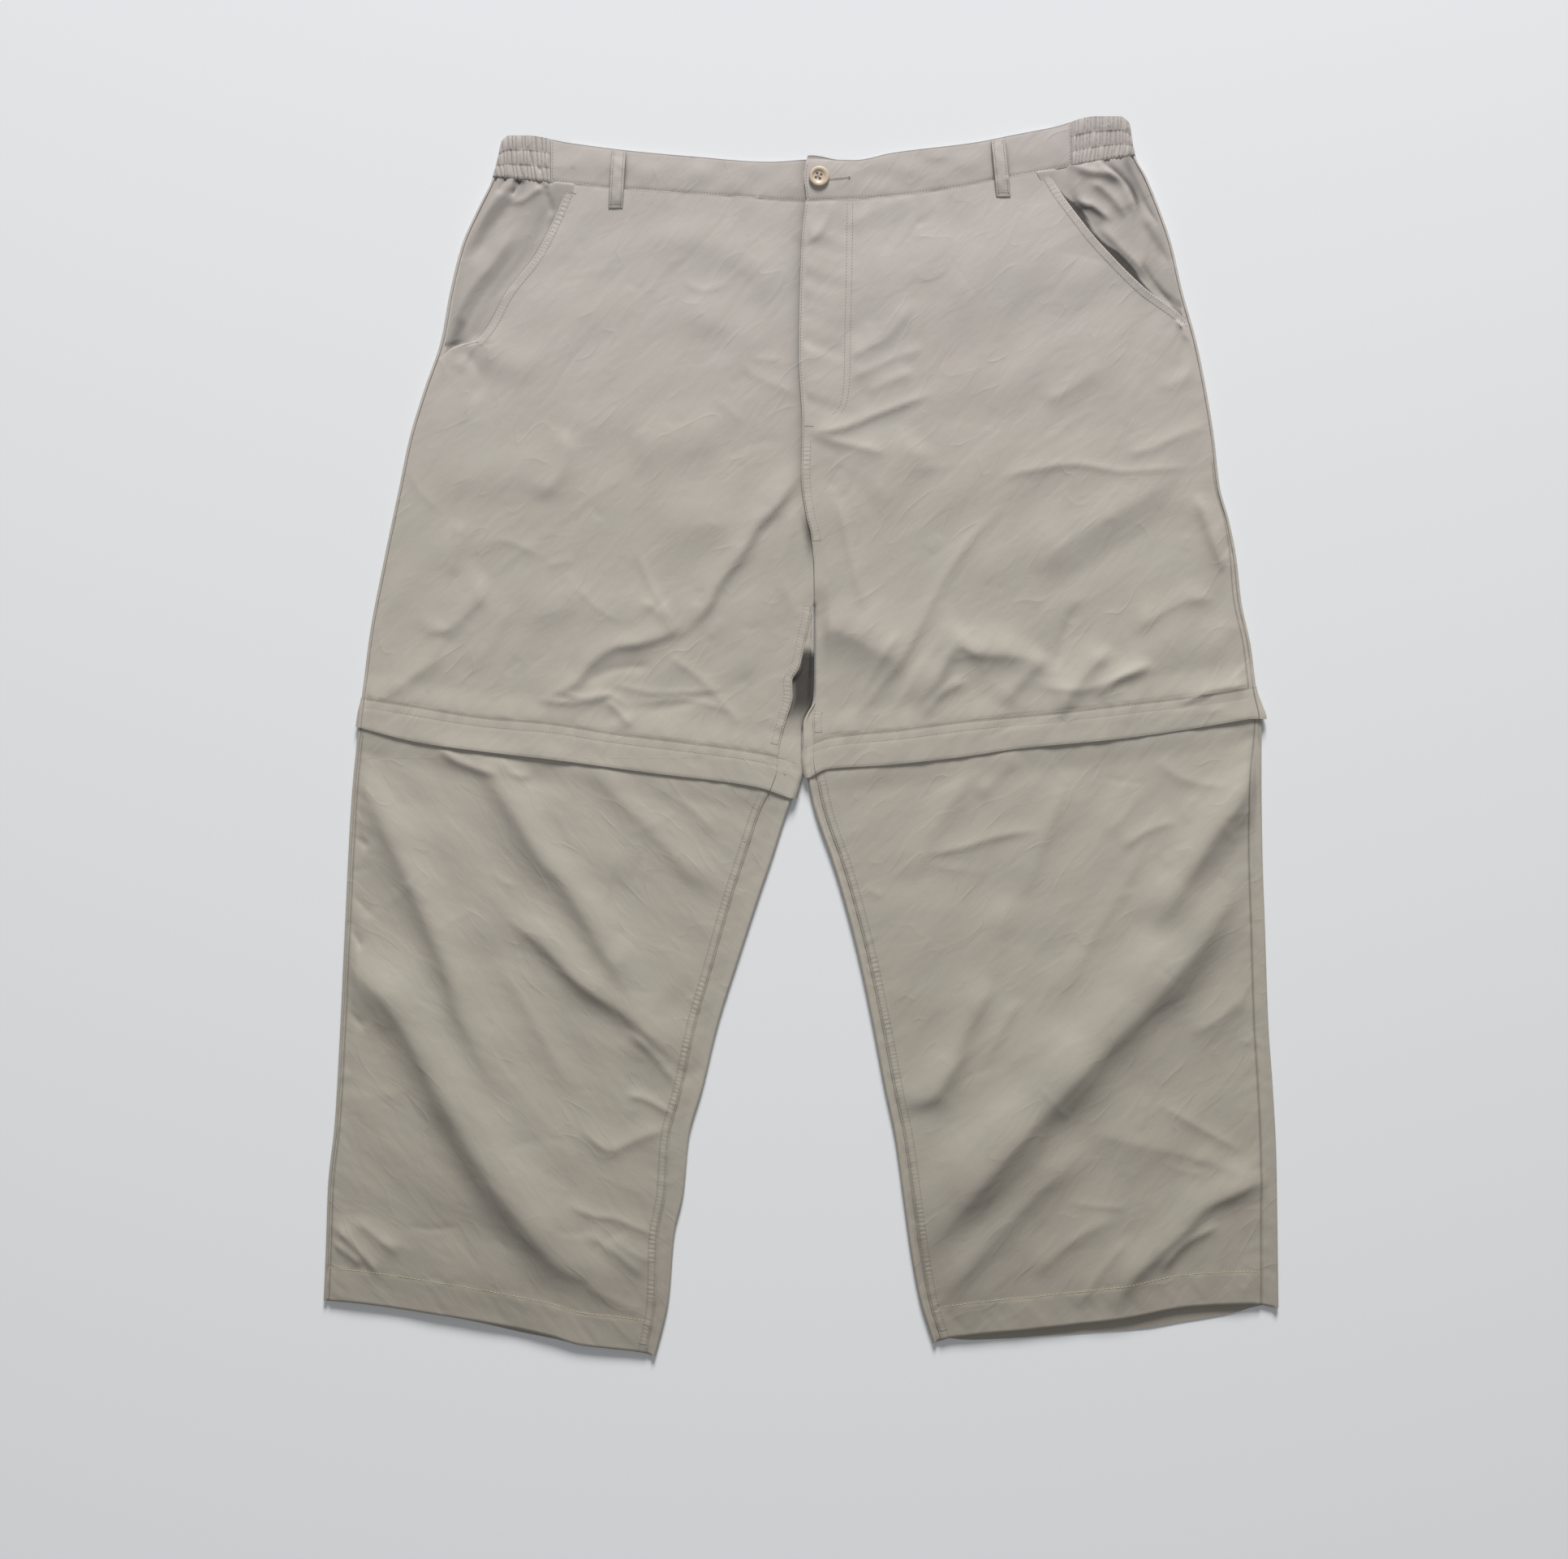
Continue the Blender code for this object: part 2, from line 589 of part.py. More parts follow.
def make_band_side(leg):
    """The elasticated side of the waistband: three channels of gathers outside a plain inside."""
    name = SIDE_NAMES[leg]
    ridges = ELASTIC_RIDGES[name]
    seam_x = ELASTIC_FRONT_X[name]
    under_x = ELASTIC_BACK_X[name]
    outer_rows = []
    inner_rows = []
    for i in range(2 * ELASTIC_CHANNELS + 1):
        row = band_row(i / (2 * ELASTIC_CHANNELS))
        edge_x = crossing(row, leg.outer)
        flat_x = edge_x + leg.inward * BAND_RADIUS
        outer = []
        inner = []
        for j in range(2 * ridges + 1):
            x = seam_x + (flat_x - seam_x) * j / (2 * ridges)
            y = float(row(x))
            height = 2 * BAND_RADIUS
            gather = GATHER_HEIGHT if i % 2 else GATHER_DIP
            outer.append((x, y, height + (gather if j % 2 else 0)))
            inner.append((x, y, height - BAND_WALL))
        for angle in FOLD_ANGLES[1:]:
            turn = math.radians(angle)
            for points, radius in ((outer, BAND_RADIUS), (inner, BAND_RADIUS - BAND_WALL)):
                x = flat_x - leg.inward * radius * math.cos(turn)
                points.append((x, float(row(x)), BAND_RADIUS + radius * math.sin(turn)))
        y = float(row(under_x))
        outer.append((under_x, y, 0.0))
        inner.append((under_x, y, BAND_WALL))
        outer_rows.append(outer)
        inner_rows.append(inner)
    walls(f"waistband_side_{name}", outer_rows, inner_rows, "band", leg is RIGHT)


def walls(name, outer_rows, inner_rows, colour, flip):
    """A closed solid between an outer and an inner grid of the same size."""
    outer_points, outer_faces = grid_faces(outer_rows, flip)
    inner_points, inner_faces = grid_faces(inner_rows, not flip)
    shift = len(outer_points)
    faces = outer_faces + [[k + shift for k in face] for face in inner_faces]
    last_row = len(outer_rows) - 1
    last_column = len(outer_rows[0]) - 1
    around = [(0, j) for j in range(last_column)]
    around += [(i, last_column) for i in range(last_row)]
    around += [(last_row, j) for j in range(last_column, 0, -1)]
    around += [(i, 0) for i in range(last_row, 0, -1)]
    numbers = [i * (last_column + 1) + j for i, j in around]
    for this, after in zip(numbers, numbers[1:] + numbers[:1]):
        rim = [this, after, after + shift, this + shift]
        faces.append(rim[::-1] if flip else rim)
    return add_object(name, outer_points + inner_points, faces, colour)


def make_band_back():
    """The back of the waistband lies on the surface, between the elasticated sides."""
    from_x = ELASTIC_BACK_X["right"] + SEAM_GAP
    to_x = ELASTIC_BACK_X["left"] - SEAM_GAP
    under = []
    for leg in (RIGHT, LEFT):
        under += [p[:2] for p in back_section(leg, upper_rows(leg)[0]) if p is not None and p[2] < SEAM_GAP]
    under.sort()
    seam_x = [p[0] for p in under]
    seam_y = [p[1] for p in under]
    xs = [from_x] + [x for x in seam_x if from_x < x < to_x] + [to_x]
    top = [(x, float(waist_top(x)), 0.0) for x in xs]
    seam = [(x, float(np.interp(x, seam_x, seam_y)) + SEAM_GAP, 0.0) for x in xs]
    cloth("waistband_back", [top, seam], "band", True, BAND_WALL)


def make_belt_loop(leg):
    """A folded strip sewn down at the waistband's top edge and below its seam."""
    top, bottom = LOOP_ENDS[SIDE_NAMES[leg]]
    rows = []
    for k in range(LOOP_ROWS + 1):
        share = k / LOOP_ROWS
        mid_x = top[0] + (bottom[0] - top[0]) * share
        y = top[1] + (bottom[1] - top[1]) * share
        arch = LOOP_ARCH * math.sin(math.pi * share)
        points = []
        for x in (mid_x - LOOP_WIDTH / 2, mid_x + LOOP_WIDTH / 2):
            under = max(band_height(x, y), front_height(leg, x, min(y, float(waist_seam(x)))))
            points.append((x, y, under + SEAM_GAP + LOOP_WALL + arch))
        rows.append(points)
    cloth(f"belt_loop_{SIDE_NAMES[leg]}", rows, "band", False, LOOP_WALL)


def make_button():
    """A turned button with a raised rim and four holes."""
    radius = BUTTON_DIAMETER / 2
    rim_out, rim_in, well = BUTTON_RIM
    profile = [
        (0, BUTTON_WELL), (radius - well, BUTTON_WELL), (radius - rim_in, BUTTON_HEIGHT),
        (radius - rim_out, BUTTON_HEIGHT), (radius, BUTTON_WELL), (radius, BUTTON_EDGE[1]),
        (radius - BUTTON_EDGE[0], 0), (0, 0),
    ]
    mesh = bpy.data.meshes.new("button")
    edges = [(k, k + 1) for k in range(len(profile) - 1)]
    mesh.from_pydata([(r * 0.001, 0, z * 0.001) for r, z in profile], edges, [])
    button = bpy.data.objects.new("button", mesh)
    button.data.materials.append(material("button_finish", COLOURS["button"]))
    collection.objects.link(button)
    button.location = [value * 0.001 for value in BUTTON_PLACE]
    turn = button.modifiers.new("turn", "SCREW")
    turn.axis = "Z"
    turn.steps = BUTTON_STEPS
    turn.render_steps = BUTTON_STEPS
    turn.use_merge_vertices = True
    turn.merge_threshold = 0.00005
    for k in range(4):
        angle = math.radians(45 + 90 * k)
        bpy.ops.mesh.primitive_cylinder_add(
            vertices=BUTTON_HOLE_SIDES,
            radius=BUTTON_HOLE / 2 * 0.001,
            depth=4 * BUTTON_HEIGHT * 0.001,
            location=(
                button.location.x + BUTTON_HOLE_RADIUS * math.cos(angle) * 0.001,
                button.location.y + BUTTON_HOLE_RADIUS * math.sin(angle) * 0.001,
                button.location.z,
            ),
        )
        hole = bpy.context.object
        hole.name = f"button_hole_{k}"
        hole.hide_render = True
        hole.display_type = "WIRE"
        for owner in list(hole.users_collection):
            owner.objects.unlink(hole)
        cutters.objects.link(hole)
        cut = button.modifiers.new(f"hole_{k}", "BOOLEAN")
        cut.operation = "DIFFERENCE"
        cut.object = hole


for old in list(bpy.data.objects):
    bpy.data.objects.remove(old, do_unlink=True)
collection = bpy.data.collections.new("zip_off_trousers")
cutters = bpy.data.collections.new("cutters")
bpy.context.scene.collection.children.link(collection)
bpy.context.scene.collection.children.link(cutters)

for one_leg in (RIGHT, LEFT):
    make_panels(one_leg)
    make_pocket_side(one_leg)
    make_flaps(one_leg)
    make_leg_zip(one_leg)
    make_band_front(one_leg)
    make_band_side(one_leg)
    make_belt_loop(one_leg)
make_band_back()
make_fly_zip()
make_button()
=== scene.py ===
import math
import re
from functools import partial
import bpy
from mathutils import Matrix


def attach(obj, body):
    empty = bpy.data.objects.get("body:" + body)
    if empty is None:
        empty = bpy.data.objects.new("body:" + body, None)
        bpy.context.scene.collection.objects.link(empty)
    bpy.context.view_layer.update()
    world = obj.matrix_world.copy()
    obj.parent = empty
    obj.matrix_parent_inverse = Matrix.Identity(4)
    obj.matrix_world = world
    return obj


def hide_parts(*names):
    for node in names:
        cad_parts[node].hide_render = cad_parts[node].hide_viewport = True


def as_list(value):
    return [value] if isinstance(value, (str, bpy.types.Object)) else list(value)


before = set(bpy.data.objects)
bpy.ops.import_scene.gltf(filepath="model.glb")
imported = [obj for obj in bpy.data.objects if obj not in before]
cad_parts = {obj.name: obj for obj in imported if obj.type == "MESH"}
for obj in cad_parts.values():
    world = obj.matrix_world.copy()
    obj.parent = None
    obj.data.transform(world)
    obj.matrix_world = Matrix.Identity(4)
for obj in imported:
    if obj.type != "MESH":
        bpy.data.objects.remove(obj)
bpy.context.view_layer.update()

from types import SimpleNamespace

import bpy
import numpy as np

# Zip-off trousers laid flat, front up. Every size in the tables is in millimetres, +X to the
# wearer's left, +Y to the waist, +Z up. The tables repeat the cut of the solids.

mm = 0.001

tube = {
    "cloth": 0.8, "gap": 0.3, "edgeRadius": 2.4, "puff": 1.5, "puffReach": 45, "foldFade": 26,
    "foldEnd": (-0.08, 0.22), "waistFlatten": 0.6, "waistRiseRun": 40, "crotchY": 117, "zipWidth": 5.4,
    "lift": 1.5, "liftMargin": 2, "liftRun": 22,
}
rightLeg = {
    "outer": [
        (-501, -423), (-456, -421), (-398, -419), (-341, -413), (-254, -408), (-168, -404), (-53, -398),
        (8, -392), (34, -389), (91, -382), (149, -371), (221, -356), (264, -347), (307, -334), (351, -319),
        (394, -311), (437, -300), (466, -287), (495, -273), (531, -264),
    ],
    "inner": [
        (-550, -129), (-499, -117), (-441, -112), (-405, -104), (-355, -99), (-312, -87), (-254, -73),
        (-197, -55), (-139, -36), (-110, -26), (-67, -12), (-56, -7.6), (-44, -3.4), (-30, 0.2), (-17, 0.4),
        (5, 0.6), (16, 3.4), (27, 8.8), (36, 11.2), (55, 11.6), (117, 11.7),
    ],
    "flapTop": [(-386, 34), (-354, 29), (-280, 17), (-223, 12), (-166, 3), (-109, -4), (-32, -15), (-1, -24)],
    "flapBottom": [(-393, 8), (-337, -6), (-280, -14), (-212, -22), (-138, -32), (-40, -45), (-10, -55)],
    "hem": [
        (-423, -500), (-406, -501), (-318, -513), (-270, -521), (-222, -531), (-196, -539), (-141, -546),
        (-129, -550),
    ],
    "hemDrop": [(-340, 0), (-290, 1.5), (-243, 3.4), (-215, 2.2), (-194, 0)],
    "pocket": [(334, -320), (345, -307), (350, -288), (395, -259), (429, -233), (485, -207), (496, -203)],
    "outseamIn": [(-500, 5.0), (530, 5.0)],
    "inseamIn": [
        (-550, 9), (-441, 15), (-385, 17), (-225, 21), (-110, 25), (-67, 25), (-44, 23), (-12, 20.5),
        (11.5, 16), (29.5, 18.4), (50, 19.6), (56, 15.8), (61, 13.2), (82, 8.6), (100, 4.4), (117, 1.2),
    ],
    "flapStand": [
        (-380, 0.2), (-340, 1.2), (-290, 1.7), (-225, 1.5), (-190, 0.6), (-120, 0.9), (-60, 0.4), (-15, 0.8),
    ],
    "pocketGape": 0.4,
}
leftLeg = {
    "outer": [
        (-507, 423), (-427, 422), (-369, 421), (-312, 418), (-254, 414), (-168, 411), (-110, 409),
        (-38, 408), (12, 408), (41, 403), (77, 399), (120, 390), (156, 386), (192, 379), (221, 371),
        (264, 366), (307, 359), (351, 350), (394, 338), (437, 328), (466, 318), (495, 306), (514, 296),
        (548, 290),
    ],
    "inner": [
        (-538, 117), (-499, 105), (-456, 97), (-413, 91), (-355, 83), (-312, 74), (-254, 63), (-197, 51),
        (-139, 36), (-110, 27), (-67, 12), (-53, 8.5), (-38, 5.5), (-27, 2.8), (-17, 1.5), (-6, 1.3),
        (11, 1.6), (20, 5), (27, 9.5), (36, 12), (117, 12.2),
    ],
    "flapTop": [(2, -9), (27, 0), (87, 6), (148, 14), (224, 21), (300, 30), (360, 37), (401, 44)],
    "flapBottom": [(7, -37), (24, -29), (72, -26), (139, -19), (194, -11), (269, -4), (330, 4), (397, 15)],
    "hem": [(117, -538), (132, -533), (207, -525), (284, -516), (348, -505), (397, -503), (423, -507)],
    "hemDrop": [(129, 0), (150, 5), (190, 7), (254, 9), (330, 13.5), (373, 10), (396, 5), (404, 0)],
    "pocket": [(347, 346.5), (366, 341), (398, 302), (436, 264), (449, 253), (493, 222), (506, 216)],
    "outseamIn": [(-507, 16), (-254, 13.5), (-60, 13), (10, 7), (120, 7), (200, 4.5), (540, 4.5)],
    "inseamIn": [(-538, 8.6), (-40, 9), (-6, 10), (11, 9), (22, 5), (34, 1.4), (117, 1.0)],
    "flapStand": [
        (10, 0.6), (60, 0.2), (120, 0.9), (180, 0.3), (240, 0.9), (300, 0.3), (360, 0.8), (395, 1.6),
    ],
    "pocketGape": 2.4,
}
seams = {
    "waistTop": [
        (-266, 526), (-258, 531), (-243, 531), (-207, 525), (-153, 518), (-99, 513), (-27, 508), (9, 510),
        (45, 509), (81, 516), (153, 525), (189, 532), (225, 539), (261, 548), (282, 548), (292, 541),
    ],
    "waistSeam": [
        (-272, 495), (-220, 490), (-170, 485), (-101, 480), (-55, 477), (2, 473), (41, 474), (125, 483),
        (171, 492), (238, 504), (295, 514),
    ],
    "flyEdge": [
        (100, 12), (149, 11.5), (163, 10.5), (179, 8.6), (194, 4.7), (230, 0.2), (274, 1), (337, -2),
        (429, 0), (474, 4),
    ],
    "centreBack": [(88, 11.7), (180, 8), (480, 3)],
    "underlapEdge": [(100, 11.6), (149, 11.1), (170, 10.6), (221, 11), (474, 11)],
    "lapEdge": [(472, 5.0), (482, 4.0), (493, 2.7), (503, 3.4), (509, 4.8), (514, 6.2)],
    "flyStitch": [(283, 27), (288, 33), (296, 36.6), (314, 38.9), (360, 39.8), (420, 41), (474, 41.8)],
}

# A fold is a ridge along a crest line: its height, below 0 for a trough, how far it fades above and below the
# line, and the places that the line runs through
swells = [  # broad and soft
    (2.6, 46, 38, (30, 386), (99, 402), (123, 409), (150, 399), (203, 416), (270, 420)),
    (1.2, 24, 18, (-140, 446), (-68, 432), (-38, 416), (-18, 372)),
    (1.0, 18, 16, (-108, 378), (-78, 366), (-36, 350)),
    (1.5, 26, 22, (-150, 250), (-100, 262), (-70, 266)),
    (1.4, 24, 20, (-130, 186), (-90, 190), (-52, 182)),
    (1.6, 20, 16, (-284, 350), (-262, 330), (-232, 324)),
    (1.1, 28, 24, (-196, 404), (-214, 330), (-204, 262)),
    (1.3, 30, 26, (-330, 240), (-250, 232), (-180, 240)),
    (1.2, 22, 18, (-250, 110), (-190, 116), (-130, 108)),
    (1.6, 20, 18, (60, 210), (78, 242), (112, 256)),
    (1.2, 30, 24, (150, 300), (220, 322), (300, 330)),
    (1.2, 26, 22, (120, 212), (190, 238), (270, 246)),
    (1.0, 24, 20, (150, 138), (200, 160), (240, 166)),
    (1.2, 22, 18, (288, 60), (330, 78), (380, 84)),
    (1.4, 30, 24, (-330, -60), (-296, -120), (-270, -190)),
    (1.3, 26, 22, (-226, -40), (-190, -90), (-150, -130)),
    (1.5, 30, 24, (-280, -250), (-250, -320), (-200, -390)),
    (1.3, 26, 20, (-170, -190), (-140, -220), (-112, -236)),
    (1.4, 30, 24, (-400, -300), (-350, -370), (-296, -440)),
    (1.1, 24, 20, (-370, -440), (-310, -470), (-240, -492)),
    (1.4, 28, 22, (300, -60), (262, -120), (214, -190)),
    (1.3, 26, 22, (120, -130), (106, -190), (98, -250)),
    (1.5, 30, 26, (240, -190), (200, -250), (150, -330)),
    (1.5, 28, 22, (400, -200), (360, -260), (310, -310)),
    (1.4, 28, 22, (390, -300), (330, -340), (270, -372)),
    (1.2, 24, 20, (210, -440), (170, -474), (132, -510)),
]
folds = [
    # right lower leg
    (
        9.8, 34, 18, (-404, -200), (-366, -235), (-341, -275), (-318, -318), (-271, -397), (-222, -459),
        (-174, -488),
    ),
    (5.2, 22, 13, (-388, -38), (-367, -86), (-337, -150), (-313, -208), (-303, -243), (-272, -305)),
    (4.6, 20, 13, (-288, -16), (-252, -72), (-234, -104), (-209, -132), (-172, -194), (-152, -226)),
    (2.5, 17, 11, (-190, -26), (-172, -44), (-126, -90), (-104, -114), (-80, -140)),
    (1.2, 10, 7, (-132, -42), (-100, -62), (-74, -86)),
    (5.0, 20, 9, (-254, -164), (-234, -180), (-195, -219), (-150, -250), (-129, -269), (-106, -290)),
    (1.8, 5, 5, (-152, -262), (-134, -278), (-110, -307)),
    (1.5, 13, 9, (-268, -202), (-240, -245), (-204, -312)),
    (2.0, 6, 4.5, (-320, -12), (-300, -24), (-268, -35)),
    (1.2, 4, 4, (-266, -22), (-258, -32), (-240, -37)),
    (1.5, 5, 4, (-154, -317), (-136, -322), (-114, -334)),
    (1.8, 9, 6, (-194, -350), (-168, -366), (-146, -357), (-118, -347)),
    (1.5, 6, 4, (-206, -415), (-184, -424), (-164, -427), (-126, -443)),
    (1.5, 7, 5, (-192, -438), (-165, -456), (-138, -478)),
    (1.2, 6, 5, (-168, -444), (-150, -456), (-132, -466)),
    (1.3, 8, 6, (-190, -486), (-164, -500), (-138, -509)),
    (2.0, 7, 4, (-414, -434), (-400, -446), (-388, -458), (-372, -478)),
    (1.5, 6, 5, (-394, -428), (-376, -442), (-356, -458)),
    (1.6, 4, 4, (-417, -447), (-402, -457), (-388, -468)),
    # left lower leg
    (10.6, 38, 19, (386, -130), (352, -184), (330, -211), (276, -268), (219, -328), (158, -397), (112, -454)),
    (6.0, 24, 18, (404, -16), (388, -56), (372, -78), (330, -142), (314, -166)),
    (1.1, 8, 6, (314, -22), (338, -38), (378, -46)),
    (1.2, 9, 3.4, (110, -105), (143, -99), (170, -90), (207, -83)),
    (1.1, 8, 3.2, (283, -99), (303, -86), (330, -75)),
    (1.7, 14, 10, (154, -32), (130, -64), (112, -96), (92, -126)),
    (1.8, 12, 9, (238, -32), (222, -72), (210, -104), (198, -140)),
    (1.5, 12, 9, (302, -96), (286, -130), (268, -160), (234, -220)),
    (1.3, 10, 8, (192, -18), (168, -42), (156, -54)),
    (1.2, 12, 9, (182, -146), (172, -206), (154, -244)),
    (3.6, 18, 11, (168, -222), (148, -258), (137, -290), (120, -316), (94, -330)),
    (1.2, 7, 5, (192, -234), (176, -262), (160, -294)),
    (0.5, 3, 3, (210, -310), (236, -338)),
    (3.2, 22, 12, (246, -370), (206, -406), (180, -434), (150, -468), (124, -502)),
    (1.8, 10, 8, (276, -426), (238, -448), (204, -476)),
    (1.6, 8, 6, (290, -444), (262, -478), (246, -504)),
    (5.0, 20, 8, (412, -390), (380, -406), (355, -419), (338, -438), (298, -474), (278, -504)),
    (2.0, 5, 4, (368, -433), (338, -450), (318, -472)),
    (1.1, 12, 8, (258, -351), (300, -362), (345, -372), (402, -391)),
    (0.9, 6, 5, (316, -325), (352, -346), (390, -367)),
    (1.3, 7, 5, (392, -230), (370, -249), (344, -264)),
    # right thigh
    (3.2, 14, 3.6, (-1, 232), (-22, 201), (-36, 187), (-52, 161), (-72, 134), (-82, 114), (-100, 95)),
    (1.2, 10, 6, (-4, 208), (-12, 172), (-16, 143), (-6, 108)),
    (1.0, 9, 6, (-22, 184), (-36, 140), (-44, 100), (-43, 26)),
    (2.3, 13, 5.5, (-104, 95), (-140, 82), (-168, 77), (-186, 64), (-200, 46), (-228, 33)),
    (0.9, 5, 4, (-120, 74), (-84, 46), (-54, 10)),
    (-1.0, 7, 5, (-146, 23), (-108, 27), (-68, 41), (-26, 54)),
    (-1.2, 6, 4, (-190, 48), (-168, 58), (-134, 62)),
    (1.5, 6, 4, (-172, 32), (-160, 20), (-150, 8)),
    (1.4, 6, 4, (-232, 31), (-196, 30), (-166, 37)),
    (1.8, 12, 6, (-280, 140), (-288, 118), (-308, 97), (-330, 90)),
    (1.8, 12, 6, (-316, 94), (-326, 66), (-346, 50), (-368, 35)),
    (0.5, 6, 4, (-288, 163), (-266, 173), (-228, 159)),
    (1.0, 5, 4, (-301, 190), (-304, 168), (-309, 142)),
    (1.0, 10, 7, (-256, 118), (-272, 86), (-292, 58)),
    (-0.9, 7, 5, (-297, 300), (-304, 240), (-311, 168)),
    (1.6, 12, 7, (-206, 268), (-211, 236), (-230, 210)),
    (1.2, 9, 6, (-142, 120), (-124, 108), (-110, 86)),
    (-0.9, 8, 6, (-300, 344), (-284, 318), (-290, 296)),
    (0.4, 5, 4, (-138, 242), (-189, 208), (-236, 170), (-274, 144)),
    (0.7, 3.4, 2.6, (-146, 165), (-130, 127), (-108, 93)),
    (0.6, 3, 2.2, (-170, 46), (-120, 38), (-76, 40), (-30, 52)),
    (0.5, 2.6, 2, (-150, 28), (-104, 32), (-60, 22)),
    (0.7, 3, 2.2, (-216, 40), (-196, 34), (-170, 36), (-152, 26)),
    # left thigh
    (4.6, 28, 22, (14, 98), (34, 94), (58, 82), (94, 62)),
    (3.9, 22, 11, (100, 30), (120, 50), (139, 79), (156, 73), (178, 72), (210, 69)),
    (2.4, 12, 7, (216, 72), (200, 54), (176, 28)),
    (1.8, 10, 5, (212, 43), (250, 41), (286, 53), (308, 60)),
    (1.6, 6, 4, (146, 50), (124, 37), (108, 18)),
    (1.2, 6, 4, (178, 202), (146, 170), (126, 138), (107, 102), (90, 70), (62, 34), (42, 12)),
    (1.1, 5, 4, (132, 98), (110, 66), (94, 42), (80, 18)),
    (1.0, 4, 3, (86, 92), (66, 60), (50, 30)),
    (2.2, 24, 15, (338, 232), (292, 206), (240, 176), (206, 148)),
    (-1.2, 16, 15, (350, 204), (305, 182), (256, 150), (222, 124)),
    (-1.2, 7, 5, (245, 116), (233, 86), (225, 57)),
    (2.7, 14, 8, (274, 76), (254, 57), (240, 40), (230, 18)),
    (1.8, 7, 5, (310, 64), (280, 50), (260, 35)),
    (2.1, 14, 6, (296, 93), (316, 108), (336, 119), (364, 122)),
    (1.6, 9, 7, (40, 332), (75, 353), (100, 382)),
    (1.4, 8, 6, (44, 316), (82, 334), (106, 343)),
    (1.2, 8, 6, (56, 304), (98, 322)),
    (1.7, 9, 3.6, (8, 267), (40, 273), (66, 284), (114, 302)),
    (1.2, 7, 5, (12, 265), (40, 258), (72, 251)),
    (1.4, 4.5, 4.5, (32, 208), (45, 158), (55, 114)),
    (1.0, 5, 3, (176, 229), (238, 240), (290, 234), (344, 238)),
    (1.0, 8, 6, (214, 296), (240, 308), (264, 328)),
    (1.1, 8, 6, (316, 306), (340, 318), (362, 338)),
    (1.1, 8, 6, (288, 246), (340, 268), (368, 278)),
    (2.4, 8, 6, (350, 212), (364, 172), (373, 146)),
    (1.5, 6, 4, (336, 29), (366, 40), (398, 46)),
    (1.7, 8, 4, (32, 478), (25, 462), (17, 446), (3, 434)),
    (2.0, 12, 7, (98, 478), (66, 466), (40, 450)),
    (1.3, 5, 3, (-285, 353), (-295, 337), (-303, 322)),
    (1.6, 3, 2.4, (331, 367), (337, 362), (342, 357)),
    (1.6, 3, 2.4, (337, 357), (344, 352), (351, 347)),
    # edge puckers down the outseams
    (-1.2, 4, 4, (-401, -88), (-392, -92), (-382, -98)),
    (-1.2, 4, 4, (-402, -136), (-392, -146), (-380, -160)),
    (-1.3, 3, 3, (-403, -168), (-396, -176), (-388, -188)),
    (-1.4, 4, 4, (-406, -242), (-398, -247), (-386, -258)),
]
pocketFolds = {  # on the pocket sides, under the elastic's tucks
    "Right": [
        (2.6, 8, 7, (-252, 492), (-263, 483), (-273, 471), (-285, 456), (-294, 440), (-301, 426)),
        (-2.0, 6, 11, (-243, 485), (-253, 475), (-263, 463), (-275, 448), (-282, 436), (-291, 422)),
        (
            2.3, 9, 6, (-252, 450), (-264, 431), (-276, 414), (-286, 403), (-296, 389), (-304, 375),
            (-311, 352),
        ),
        (
            -1.3, 5, 8, (-244, 442), (-257, 422), (-267, 407), (-277, 396), (-286, 382), (-294, 368),
            (-303, 348),
        ),
        (1.8, 3, 2.2, (-222, 488), (-234, 482), (-246, 474), (-258, 472)),
        (-1.8, 2, 2, (-259, 497), (-264, 488), (-268, 480)),
        (-2.4, 2, 2, (-252, 495), (-250, 489), (-257, 478)),
        (-2.0, 2, 2, (-236, 493), (-229, 487), (-225, 482)),
        (-1.5, 2, 2, (-226, 482), (-222, 471), (-219, 462)),
    ],
    "Left": [
        (2.4, 5, 4, (240, 505), (252, 500), (262, 498), (272, 497), (284, 491)),
        (2.2, 6, 4.5, (256, 490), (266, 484), (274, 477), (281, 468), (287, 461)),
        (-2.6, 2.6, 2.6, (268, 510), (276, 502), (284, 495), (291, 487), (296, 477), (298, 466)),
        (2.6, 9, 5, (262, 508), (274, 497), (284, 488), (291, 474), (296, 462)),
        (-1.8, 3, 3, (286, 509), (292, 496), (298, 483), (306, 468), (320, 450)),
        (2.2, 4, 3.5, (244, 474), (251, 470), (258, 468), (266, 461), (274, 457)),
        (1.8, 7, 5, (262, 450), (272, 442), (282, 432), (296, 419), (304, 408)),
        (-1.4, 4, 4, (303, 456), (311, 442), (320, 428), (326, 418)),
        (-1.2, 3, 3, (300, 419), (310, 405), (320, 392), (332, 378)),
        (-1.6, 2, 2, (290, 511), (296, 504), (302, 494)),
    ],
}
